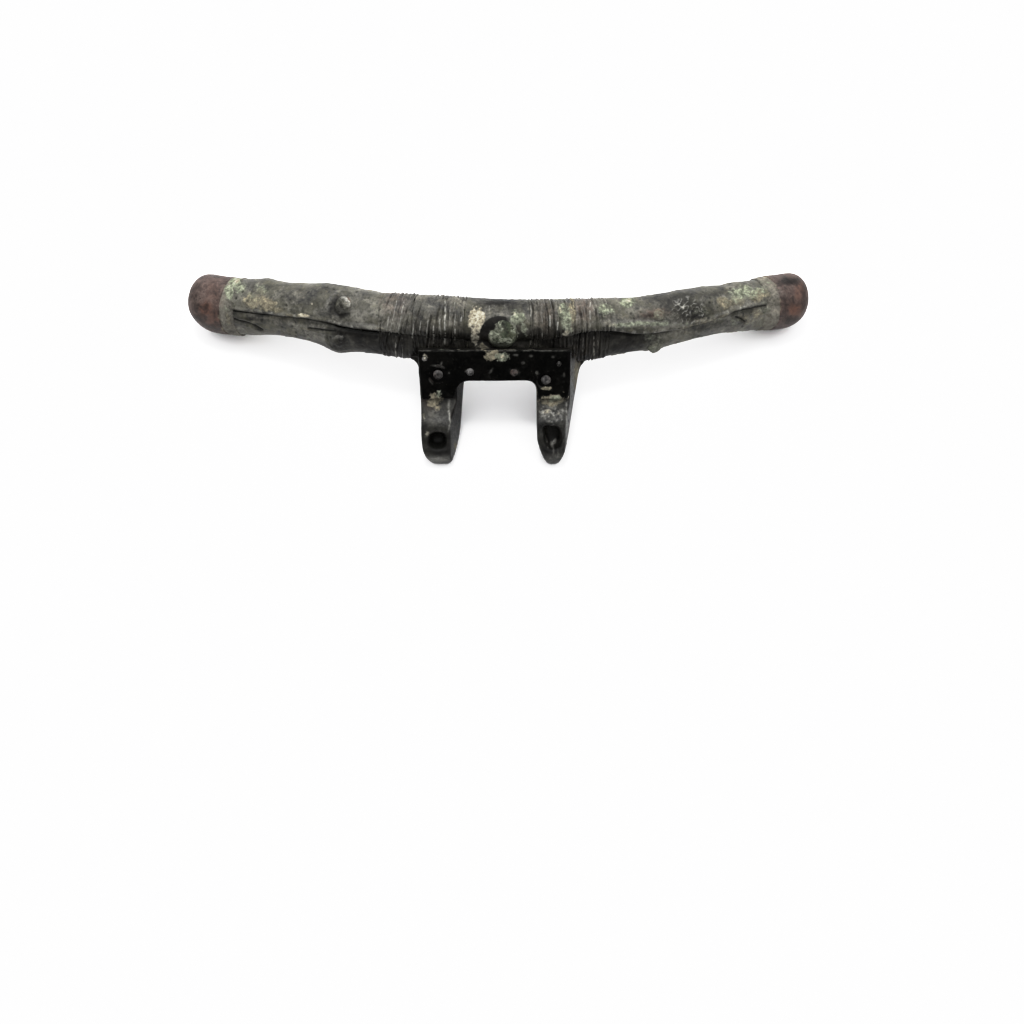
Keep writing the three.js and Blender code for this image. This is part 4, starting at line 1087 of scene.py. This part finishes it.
def paint_cap(side):
    def paint(p, n):
        U, S, facing, m = deposits(p, n, seed=9, spread=0.35)
        d, pit = skin(p, 61 if side == "left" else 67, low=0.13, mid=0.03, fine=0.012, pits=0.05)
        if side == "left":
            spots = [(206, 308, 8, 9, 0.85), (214, 318, 8, 10, 0.55), (213, 292, 8, 12, 0.3)]
            dark = [(195, 296, 5, 18, 0.3), (200, 318, 10, 6, 0.35), (206, 306, 3.5, 4, 0.55), (216, 327, 9, 4, 0.5)]
        else:
            spots = [(795, 309, 9, 7, 0.9), (800, 292, 6, 10, 0.5)]
            dark = [(787, 281, 12, 4.5, 0.85), (804, 300, 3, 18, 0.45), (792, 321, 12, 5, 0.55), (784, 312, 3, 10, 0.3)]
        w = 0.35 * fbm(p, 1.4, 3, 62)
        for cu, cv, ru, rv, s in spots:
            cx, cy = C(cu, cv)
            r = np.hypot((U - cx) / (ru * 0.1559), (S - cy) / (rv * 0.1559)) + w
            m["red"] = np.maximum(m["red"], s * sstep(1.3, 0.4, r) * facing)
            d -= 0.05 * s * sstep(1.2, 0.3, r) * facing
        for cu, cv, ru, rv, s in dark:
            cx, cy = C(cu, cv)
            r = np.hypot((U - cx) / (ru * 0.1559), (S - cy) / (rv * 0.1559)) + w
            m["black_and_shade"] = np.maximum(m["black_and_shade"], s * sstep(1.3, 0.4, r) * facing)
        # pale crust creeping over the rim, shade low down on the rounded end
        x, y, z = unbend(p)
        e = END[side]
        t = (np.abs(x) - e["cap"]) + 0.7 * fbm(p, 1.3, 4, 63)
        m["tan"] = np.maximum(m["tan"] * 0.4, sstep(0.45, -0.1, t) * 0.7)
        m["green"] *= sstep(0.4, 1.2, t) * 0.0 + 0.5
        m["black_and_shade"] = np.maximum(m["black_and_shade"], 0.5 * np.exp(-((np.abs(x) - e["cap"] - 0.85) / 0.28) ** 2) * sstep(-0.2, 0.4, fbm(p, 1.8, 3, 64)) * facing)
        m["black_and_shade"] = np.maximum(m["black_and_shade"], 0.45 * sstep(-2.0, -4.4, z + 0.8 * fbm(p, 1.5, 3, 65)) * facing)
        m["green"] *= 0.5
        m["pit"] = pit * 0.4
        return d, m
    return paint


def make_ends():
    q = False
    for side, e in END.items():
        nv = 200 if not q else 80
        th = np.linspace(0, 2 * math.pi, nv, endpoint=False)
        s = e["s"]
        a, b = e["collar"]
        xo = np.linspace(a, b, 30)
        t = (xo - a) / (b - a)
        # swells from the bar's own outline to the cap's rim
        k = sstep(0.0, 0.75, t)
        rows = []
        for x, kk, tt in zip(xo, k, t):
            own = outline(np.full(nv, s * x), th) + 0.05
            own_y, own_z = -own * np.cos(th), AXIS_Z + own * np.sin(th)
            r = e["r"] * (0.985 - 0.03 * abs(tt - 0.75))
            cy, cz = -r * np.cos(th), e["z"] + r * np.sin(th)
            y, z = own_y + (cy - own_y) * kk, own_z + (cz - own_z) * kk
            rows.append(bend(np.full(nv, s * x), y, z))
        for x in np.linspace(b, a, 8):
            rows.append(bend(np.full(nv, s * x), -3.0 * np.cos(th), -0.3 + 3.0 * np.sin(th)))
        G = np.array(rows)
        m = torus_mesh("collar", G[:, ::-1] if s > 0 else G)
        finish_piece(f"collar_{side}_crust", m, "cleat", [f"collar_{side}"], COLLAR, paint_collar)
        L = e["dome"]
        start = e["tip"] - L
        f = np.linspace(0, math.pi / 2, 64)
        f = np.concatenate([f[:-1], [math.pi / 2 * 0.9985]])
        prof = [(e["cap"], 0.985), (e["cap"] + 0.05, 1.0)] + [(v, 1.0) for v in np.linspace(e["cap"] + 0.4, start - 0.1, 4)]
        prof += [(start + L * math.sin(v) ** (2.0 / e["n"]), max(math.cos(v), 1e-4) ** (2.0 / e["n"])) for v in f]
        rows = []
        for x, r in prof:
            r *= e["r"]
            t = max(0.0, (x - start) / L)
            zc = e["z"] + e["lift"] * t ** 2
            squash = np.where(np.sin(th) < 0, 1 - e["low"] * t ** 1.6, 1.0)
            rows.append(bend(np.full(nv, s * x), -r * np.cos(th), zc + r * np.sin(th) * squash))
        G = np.array(rows)
        m = grid_mesh("cap", G[:, ::-1] if s > 0 else G)
        m = remesh(m, 0.13 if not q else 0.25, 2)
        finish_piece(f"end_cap_{side}_dome", m, "cleat", [f"end_cap_{side}"], CAP, paint_cap(side))


# ------------------------------------------------------------------ studs
def paint_stud(p, n):
    U, S, facing, m = deposits(p, n, seed=5)
    d, pit = skin(p, 81, low=0.10, mid=0.12, fine=0.05, pits=0.08)
    c = p.mean(0)
    d += 0.16 * fbm(p, 1.1, 3, 88) * sstep(0.0, 0.5, facing)
    if c[0] > 0:
        top = c[2] > -3
        d -= 0.06 if top else 0.0
        m["red"] = np.full(len(p), 0.55 if top else 0.0)
        m["green"] = np.maximum(m["green"], 0.5 if top else 0.55)
        m["tan"] = np.maximum(m["tan"], 0.5 if top else 0.3)
        m["black_and_shade"] = np.full(len(p), 0.15 if top else 0.45) * (0.7 + 0.8 * fbm(p, 0.8, 3, 84))
    else:
        q = p - c
        upper = c[2] > 0
        d += 0.2 * fbm(p, 0.75, 3, 89) * facing
        if not upper:
            m["tan"] = np.maximum(m["tan"], 0.3)
            # painted shade on the lower part of the stud
            m["black_and_shade"] = np.maximum(m["black_and_shade"], 0.9 * facing * sstep(-0.05, 0.25, fbm(p, 0.9, 3, 95) - 0.25 * q[:, 2]))
        if upper:
            # a worn crater on the left, darkened with painted shade
            e2 = np.hypot(q[:, 0] + 0.55, q[:, 2] + 0.05) + 0.3 * fbm(p, 0.9, 2, 86)
            d -= 0.3 * np.exp(-(e2 / 0.75) ** 2) * facing + 0.12
            m["black_and_shade"] = np.maximum(m["black_and_shade"], 0.85 * np.exp(-(e2 / 0.8) ** 2))
        # painted highlight on the upper side, painted shade on the lower side
        m["worn"] = np.maximum(m["worn"], 0.8 * facing * sstep(0.2, 0.9, q[:, 0] * 0.6 + q[:, 2] * 0.8 + 0.6 * fbm(p, 0.8, 2, 82)))
        m["painted_highlight"] = 0.6 * facing * sstep(0.5, 1.1, q[:, 0] * 0.5 + q[:, 2] * 0.9 + 0.7 * fbm(p, 0.6, 2, 87))
        m["black_and_shade"] = np.maximum(m["black_and_shade"], 0.75 * sstep(0.4, -0.7, q[:, 0] * 0.5 + q[:, 2] + 0.3 * fbm(p, 0.8, 2, 83)))
    m["pit"] = pit * 0.5
    return d, m


def make_small(node, name, voxel, smooth, material, paint, body="cleat"):
    m = remesh(cad_mesh(node), voxel, smooth)
    return finish_piece(name, m, body, [node], material, paint)


SUNK = {"left_upper": 0.22, "left_lower": 0.34, "right_upper": 0.38, "right_lower": 0.1}


def make_studs():
    for s, deep in SUNK.items():
        m = remesh(cad_mesh(f"eye_stud_{s}"), 0.07, 6)
        v = coords(m)
        v[:, 1] += deep  # worn down into the bar
        set_coords(m, v)
        finish_piece(f"eye_stud_{s}_boss", m, "cleat", [f"eye_stud_{s}"], BAR, paint_stud)


# ------------------------------------------------------------------ bracket, plate, fasteners
def paint_bracket(p, n):
    U, S, facing, m = deposits(p, n, seed=7)
    d, pit = skin(p, 101, low=0.09, mid=0.06, fine=0.025, pits=0.12)
    x, y, z = p[:, 0], p[:, 1], p[:, 2]
    z2 = z + 0.5 * fbm(p, 1.6, 3, 105)
    low = sstep(-10.9, -11.6, z)
    up = sstep(0.55, 0.95, n @ np.array([0.0, -0.55, 0.83]))
    rag = fbm(p, 1.1, 4, 103, 0.6)
    wob = 0.3 * fbm(p, 1.3, 3, 120)

    def spot(cu, cv, ru, rv, turn=0, hard=2.0, w=wob):
        cx, cy = C(cu, cv)
        t = math.radians(turn)
        du, dv = U - cx, S - cy
        ex = (du * math.cos(t) + dv * math.sin(t)) / (ru * 0.1559)
        ey = (-du * math.sin(t) + dv * math.cos(t)) / (rv * 0.1559)
        return np.exp(-np.maximum(np.hypot(ex, ey) + w, 0) ** hard) * facing

    L, R = low * (x < 0), low * (x > 0)
    fwd = sstep(0.35, 0.75, -n[:, 1] * 0.8 + n[:, 2] * 0.6)
    side = sstep(0.3, 0.6, n[:, 0]) * (x > 8) * sstep(-17.5, -10, z)
    inner = sstep(0.3, 0.6, n[:, 0]) * (x < 0)
    worn = 0.12 * low * sstep(-0.3, 0.3, fbm(p, 1.8, 4, 102))
    # left toe: painted highlights on the slope, lip, rim and arris, painted shade in and above the soft recess
    slope = spot(437, 418, 12, 11, 0, 4) * L * (1 - inner)
    recess = spot(438, 445.5, 12, 11, 0, 5, 0.5 * wob) * L * (1 - inner)
    shade = spot(437, 436, 13, 9, 0, 3) * L
    lip = spot(438, 459, 12, 3.2, 3, 2) * L
    rim = spot(426.5, 438, 2.4, 14, 0, 2) * L
    worn = np.maximum.reduce([worn, slope * 0.42 * (0.8 + 0.5 * fbm(p, 1.2, 3, 121)), 0.85 * lip, 0.45 * rim * sstep(-0.2, 0.3, rag)])
    arris = np.exp(-((U - C(449.3, 415)[0] - 0.12 * np.sin(z * 1.7)) / 0.17) ** 2) * L * sstep(-16.2, -14.2, z) * facing
    # right toe: crumbled slope with painted highlights, ragged recess in painted shade with highlight streaks, grey tip
    c = cells(p, 1.1, 106)
    slope_r = spot(553, 412, 13, 12, 0, 4) * R * (1 - side)
    recess_r = spot(552.5, 441, 9.5, 16, -4, 4, 1.2 * wob) * R * (1 - side)
    streak = sstep(0.1, 0.45, perlin(np.stack([x * 1.6, y, z * 0.45], 1), 0.9, 123))
    tip_r = spot(555, 456, 7, 3.2, 0, 2) * R
    worn = np.maximum.reduce([worn, slope_r * sstep(-0.25, 0.3, rag) * 0.7, 0.55 * tip_r, 0.75 * recess_r * streak])
    # painted highlight along the toe's outer edge
    edge_r = np.exp(-((U - C(566.5, 430)[0]) / 0.14) ** 2) * R * facing * sstep(-17.0, -15.0, z)
    worn = np.maximum(worn, 0.6 * edge_r * sstep(-0.3, 0.3, fbm(p, 0.8, 2, 108)))
    m["worn"] = np.maximum(m["worn"], worn)
    m["painted_highlight"] = np.maximum(0.62 * slope_r * sstep(0.12, 0.42, fbm(p, 0.7, 3, 125)), 0.6 * arris * sstep(-0.2, 0.25, fbm(p, 0.7, 2, 109)))
    m["painted_highlight"] = np.maximum(m["painted_highlight"], 0.34 * recess_r * streak * sstep(-0.1, 0.3, fbm(p, 0.6, 3, 127)))
    m["painted_highlight"] = np.maximum(m["painted_highlight"], 0.45 * edge_r * sstep(-0.2, 0.3, fbm(p, 0.6, 2, 111)))
    m["worn"] = np.maximum(m["worn"], 0.9 * arris)
    # side of the right leg: pale olive crust
    m["tan"] = np.maximum(m["tan"], 0.34 * side * (0.75 + 0.5 * fbm(p, 1.5, 3, 104)))
    m["green"] = np.maximum(m["green"], 0.28 * side * sstep(-0.2, 0.3, fbm(p, 2.0, 3, 107)))
    pale = spot(456, 446, 3.6, 7, 0, 2) * L
    m["tan"] = np.maximum(m["tan"], 0.7 * pale)
    web = sstep(-12.0, -10.6, z) * (1 - side)
    sock = sstep(-7.6, -7.2, y + 0.25 * rag) * (y < -4.9) * (((np.abs(x + 9.45) < 1.75) & (np.abs(z + 17.0) < 1.7)) | ((np.abs(x - 8.4) < 1.9) & (np.abs(z + 16.6) < 2.4)))
    # painted shade: in the recesses and sockets, on the upper web, on the inner side of the left leg and on the toes'
    # forward faces
    dark = np.maximum.reduce([0.9 * recess, 0.6 * shade * (1 - 0.75 * rim), 0.93 * web, inner * 0.98 * (1 - 0.8 * pale), recess_r * (0.66 - 0.66 * streak),
                              0.5 * L * fwd * (1 - slope) * (1 - lip), 0.35 * R * (1 - slope_r) * (1 - tip_r), sock * np.where(x < 0, 0.95, 0.75 - 0.65 * streak)])
    m["black_and_shade"] = np.clip(np.maximum(m["black_and_shade"], dark), 0, 1) * (1 - 0.85 * crust(m)) * (1 - 0.8 * arris)
    for kk in ("tan", "green"):
        m[kk] *= 1 - 0.9 * np.maximum(recess, sock)
    m["pit"] = np.maximum(pit * 0.8, R * sstep(0.3, 0.1, c) * 0.7)
    # sockets and recesses darkened further with painted shade
    m["pit"] = np.maximum.reduce([m["pit"], 0.95 * sock * (x < 0), 0.55 * recess, 0.5 * recess_r * (1 - streak)])
    # their relief
    d += R * (y < -4.6) * (0.22 * rag - 0.22 * sstep(0.4, 0.1, c))
    d -= 0.42 * recess + 0.38 * recess_r * (1 - 0.6 * streak) + 0.14 * shade * (1 - recess)
    d += 0.07 * arris + 0.05 * rim + 0.12 * slope_r * rag
    d += lumps(p, m, 16)
    d *= sstep(0.0, 0.35, to_row(p)[:, 2])  # soles stay flat
    return d, m


# painted highlights on the plate round its rivets, pins and roves
PLATE_HIGHLIGHTS = [(470, 371, 4.5, 2.2, 0, 0.9), (491, 371, 1.2, 3.5, -35, 0.6), (514, 372, 5.5, 3.6, -15, 0.55), (523, 363, 2, 1.6, 0, 0.6),
         (537, 373, 1.6, 2.2, 0, 0.8), (559, 363, 1.9, 1.9, 0, 0.6), (449, 373, 1, 1, 0, 0.5), (553, 357, 1.6, 1.2, 0, 0.6), (516, 355, 3.5, 1.2, 0, 0.5),
         (564, 375, 1.2, 2.5, 0, 0.35), (437, 366, 6.5, 1.0, -8, 0.7), (441, 364, 1.0, 3.0, -20, 0.6), (431, 382, 1.0, 4, 35, 0.4), (531, 356, 2, 1.5, 0, 0.4)]


def paint_plate(p, n):
    U, S, facing, m = deposits(p, n, seed=10)
    d, pit = skin(p, 111, low=0.05, mid=0.022, fine=0.01, pits=0.03)
    for cu, cv, ru, rv, turn, s in PLATE_HIGHLIGHTS:
        cx, cy = C(cu, cv)
        a = math.radians(turn)
        du, dv = U - cx, S - cy
        ex = (du * math.cos(a) + dv * math.sin(a)) / (ru * 0.1559)
        ey = (-du * math.sin(a) + dv * math.cos(a)) / (rv * 0.1559)
        r = np.hypot(ex, ey) + 0.3 * fbm(p, 0.6, 2, 112)
        k = sstep(1.25, 0.45, r) * facing * s
        m["worn"] = np.maximum(m["worn"], k * 0.62)
        d += 0.06 * k
    # painted highlight along the plate's top edge
    top = sstep(-3.45, -3.2, p[:, 2]) * sstep(-0.2, 0.5, n[:, 2])
    m["worn"] = np.maximum(m["worn"], top * 0.42 * sstep(-0.35, 0.3, fbm(p, 1.2, 3, 116)))
    m["red"] *= 0.0
    m["tan"] = np.where(m["tan"] < 0.45, m["tan"] * 0.4, m["tan"]); m["green"] = np.where(m["green"] < 0.45, m["green"] * 0.4, m["green"])
    d += 0.05 * fbm(np.stack([p[:, 0], p[:, 1] * 0, p[:, 2] * 0], 1), 1.6, 3, 114) * top
    foot = sstep(-10.2, -10.9, p[:, 2])
    d += 0.12 * foot * fbm(p, 0.9, 2, 115)
    d += lumps(p, m, 17)
    m["pit"] = pit * 0.4
    return d, m


def paint_rove(p, n):
    U, S, facing, m = deposits(p, n, seed=12)
    d, pit = skin(p, 121, low=0.03, mid=0.03, fine=0.015, pits=0.03)
    U2, S2 = U, S
    left = p[:, 0].mean() < 0
    cx, cz = (-9.37, -7.0) if left else (7.35, -7.85)
    a = np.arctan2(p[:, 2] - cz, p[:, 0] - cx)
    if left:
        highlight_arc = np.exp(-((a - 1.35) / 0.55) ** 2) + 0.5 * np.exp(-((a + 2.5) / 0.4) ** 2)
    else:
        highlight_arc = np.exp(-((a + 1.6) / 0.75) ** 2)
        m["tan"] = np.maximum(m["tan"], 0.85 * np.exp(-((a + 1.55) / 0.4) ** 2))
    highlight_arc = np.clip(highlight_arc * (0.8 + 0.6 * fbm(p, 0.8, 2, 122)), 0, 1)
    # painted highlight on an arc of the ring, painted shade over the rest
    m["worn"] = 0.55 * highlight_arc * facing
    m["black_and_shade"] = 1 - 0.7 * highlight_arc
    d += (0.16 * highlight_arc - 0.06 + 0.05 * fbm(p, 0.6, 2, 124)) * facing
    return d, m


def paint_rivet(p, n):
    U, S, facing, m = deposits(p, n, seed=13)
    d, pit = skin(p, 131, low=0.04, mid=0.035, fine=0.015, pits=0.03)
    c = p.mean(0)
    base = 0.75 if (c[2] > -7.2 and c[0] > 5) else 0.3
    m["black_and_shade"] = np.maximum(m["black_and_shade"], np.clip(base + 1.1 * fbm(p, 0.6, 2, 133), 0, 0.95))
    q = p - c
    # painted shade on the lower side of the head
    m["black_and_shade"] = np.maximum(m["black_and_shade"], sstep(0.1, -0.5, q[:, 2] + 0.3 * q[:, 0]) * 0.7)
    return d, m


def paint_pin(p, n):
    U, S, facing, m = deposits(p, n, seed=14, spread=0.6)
    face = sstep(-3.2, -3.5, p[:, 1])
    lump = fbm(p, 1.3, 4, 141)
    fine = fbm(p, 0.35, 2, 142)
    rad = np.hypot(p[:, 0] - 0.6, p[:, 2] + 0.92)
    flat = face * sstep(2.1, 1.6, rad)
    d = flat * (0.13 * lump + 0.05 * fine - 0.03) + (1 - flat) * (-0.02 + 0.02 * fine) + 0.17 * (1 - flat) * sstep(-1.9, -2.4, p[:, 1])
    c = cells(p, 0.7, 143)
    pit = sstep(0.3, 0.1, c) * face * sstep(-0.2, 0.3, fbm(p, 1.6, 2, 144))
    d -= 0.1 * pit
    r = np.hypot(p[:, 0] - 0.6, p[:, 2] + 0.92)
    edge = np.exp(-((r - 2.0) / 0.25) ** 2) * face
    m["green"] = np.maximum(m["green"] * 0.6, face * sstep(-0.25, 0.4, fbm(p, 1.1, 4, 145)) * 0.8)
    m["white"] = np.maximum(m["white"] * 0.2, face * sstep(0.2, 0.55, fbm(p, 0.7, 3, 146)) * 0.5)
    m["tan"] *= 0.5
    # painted highlight on the face's rim, and a paler spot near its middle
    m["worn"] = 0.4 * edge * sstep(-0.2, 0.3, fbm(p, 0.9, 2, 147)) + 0.4 * face * np.exp(-(np.hypot(p[:, 0] + 0.2, p[:, 2] - 0.2) / 1.0) ** 2)
    # darker towards the bottom of the face; painted shade on the shank inside the hole
    dkb = face * sstep(-0.2, 0.5, 0.5 * fbm(p, 1.2, 3, 148) - (p[:, 2] + 1.9) * 0.5) * 0.8
    m["black_and_shade"] = np.maximum((1 - face) * 0.8, dkb * (1 - 0.7 * crust(m)))
    m["pit"] = pit
    return d, m


def relax(mesh, weight, rounds, factor=0.5):
    """Rounds a mesh off where weight is high, by averaging neighbours."""
    e = np.empty(len(mesh.edges) * 2, np.int64)
    mesh.edges.foreach_get("vertices", e)
    e = e.reshape(-1, 2)
    n = len(mesh.vertices)
    a = np.concatenate([e[:, 0], e[:, 1]]); b = np.concatenate([e[:, 1], e[:, 0]])
    deg = np.maximum(np.bincount(a, minlength=n), 1)
    v = coords(mesh)
    w = (factor * weight(v))[:, None]
    for _ in range(rounds):
        avg = np.stack([np.bincount(a, weights=v[b, k], minlength=n) / deg for k in range(3)], 1)
        v = v + w * (avg - v)
    set_coords(mesh, v)
    return mesh


def toe_weight(p):
    """1 on the toes and their sockets, 0 on the flat soles and on everything fitted."""
    z = p[:, 2]
    row_z = to_row(p)[:, 2]
    return sstep(-11.2, -12.6, z) * (0.3 + 0.7 * sstep(0.02, 0.6, row_z))


def socket_weight(p):
    """1 round the mouths of the toe sockets."""
    a = np.hypot((p[:, 0] + 9.45) / 2.2, (p[:, 2] + 17.0) / 2.3)
    b = np.hypot((p[:, 0] - 8.4) / 2.1, (p[:, 2] + 16.6) / 3.0)
    return sstep(1.3, 0.9, np.minimum(a, b)) * (p[:, 1] < -4.2)


def make_bracket():
    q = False
    m = remesh(cad_mesh("bracket"), 0.15 if not q else 0.3, 4)
    m = relax(m, toe_weight, 34 if not q else 8)
    m = relax(m, socket_weight, 60 if not q else 12)
    finish_piece("bracket_casting", m, "cleat", ["bracket"], IRON, paint_bracket)
    m = remesh(cad_mesh("facing_plate"), 0.1 if not q else 0.16, 2)
    finish_piece("facing_plate_sheet", m, "cleat", ["facing_plate"], PLATE, paint_plate)
    for s in ("left", "right"):
        make_small(f"leg_rivet_{s}", f"leg_rivet_{s}_head", 0.07, 3, RIVET, paint_rivet)
        m = remesh(cad_mesh(f"leg_rove_{s}"), 0.05 if not q else 0.09, 2)
        v = coords(m)
        v[:, 1] += 0.26  # bedded into the plate's crust
        set_coords(m, v)
        finish_piece(f"leg_rove_{s}_ring", m, "cleat", [f"leg_rove_{s}"], PLATE, paint_rove)
        make_small(f"web_rivet_{s}", f"web_rivet_{s}_head", 0.055, 3, RIVET, paint_rivet)
        make_small(f"corner_pin_{s}", f"corner_pin_{s}_head", 0.05, 3, RIVET, paint_rivet)
    make_small("cross_pin", "cross_pin_corroded", 0.09, 3, PIN, paint_pin, body="pin")


# ------------------------------------------------------------------ stage, light, camera
def make_stage():
    m = bpy.data.meshes.new("floor")
    s = 3.0
    m.from_pydata([(-s, -s, 0), (s, -s, 0), (s, s, 0), (-s, s, 0)], [], [(0, 1, 2, 3)])
    o = bpy.data.objects.new("floor", m)
    bpy.context.collection.objects.link(o)
    mat, nt, b = new_material("floor_paper")
    k = Kit(nt)
    k.link(k.ramp(k.noise(60.0, 3, 0.5), [(0.3, (0.86, 0.86, 0.86)), (0.7, (0.9, 0.9, 0.9))]), b.inputs["Base Color"])
    b.inputs["Roughness"].default_value = 0.9
    b.inputs["Specular IOR Level"].default_value = 0.1
    m.materials.append(mat)


def area(name, loc, aim, size, power, colour=(1, 1, 1)):
    d = bpy.data.lights.new(name, "AREA")
    d.shape = "RECTANGLE"
    d.size, d.size_y = size
    d.energy = power
    d.color = colour
    o = bpy.data.objects.new(name, d)
    bpy.context.collection.objects.link(o)
    o.location = loc
    v = Vector(aim) - Vector(loc)
    o.rotation_euler = v.to_track_quat("-Z", "Y").to_euler()
    return o


def make_light():
    w = bpy.data.worlds.new("studio")
    w.use_nodes = True
    nt = w.node_tree
    bg = nt.nodes["Background"]
    tc = nt.nodes.new("ShaderNodeTexCoord")
    sep = nt.nodes.new("ShaderNodeSeparateXYZ")
    nt.links.new(tc.outputs["Generated"], sep.inputs[0])
    # dark low down on the viewer's side, pale overhead and behind
    add = nt.nodes.new("ShaderNodeMath"); add.operation = "MULTIPLY_ADD"
    nt.links.new(sep.outputs["Y"], add.inputs[0]); add.inputs[1].default_value = 0.35
    nt.links.new(sep.outputs["Z"], add.inputs[2])
    rng = nt.nodes.new("ShaderNodeMapRange")
    rng.inputs["From Min"].default_value = -0.5
    rng.inputs["From Max"].default_value = 1.1
    nt.links.new(add.outputs[0], rng.inputs["Value"])
    r = nt.nodes.new("ShaderNodeValToRGB")
    stops = [(0.30, 0.02), (0.385, 0.07), (0.5, 0.7), (0.62, 1.05), (0.8, 1.3), (0.95, 1.5)]
    while len(r.color_ramp.elements) > 1:
        r.color_ramp.elements.remove(r.color_ramp.elements[-1])
    for i, (at, v) in enumerate(stops):
        e = r.color_ramp.elements[0] if i == 0 else r.color_ramp.elements.new(at)
        e.position = at
        e.color = (v, v, v * 1.01, 1)
    nt.links.new(rng.outputs[0], r.inputs[0])
    nt.links.new(r.outputs[0], bg.inputs["Color"])
    bg.inputs["Strength"].default_value = 1.15
    bpy.context.scene.world = w
    area("overhead", (-0.06, 0.12, 0.9), (0, 0.0, 0.0), (0.16, 0.16), 1.9)


def make_camera():
    c = bpy.data.cameras.new("camera")
    c.lens, c.sensor_width = 85.0, 36.0
    c.clip_start, c.clip_end = 0.01, 20.0
    o = bpy.data.objects.new("camera", c)
    bpy.context.collection.objects.link(o)
    M = Matrix.Identity(4)
    for i in range(3):
        M[i][0], M[i][1], M[i][2] = RIGHT[i], UP[i], -FWD[i]
        M[i][3] = CAM_ROW_MM[i] / 1000.0
    o.matrix_world = M
    bpy.context.scene.camera = o


make_camera()
make_stage()
make_light()
make_bar()
make_bindings()
make_ends()
make_studs()
make_bracket()

view = bpy.context.scene.view_settings
view.view_transform = "Standard"
# the paper is printed out to white, as it is in a catalogue picture
view.use_curve_mapping = True
curve = view.curve_mapping.curves[3]
for cx, cy in ((0.10, 0.10), (0.22, 0.27), (0.36, 0.60), (0.5, 0.86), (0.7, 0.97)):
    curve.points.new(cx, cy)
view.curve_mapping.update()
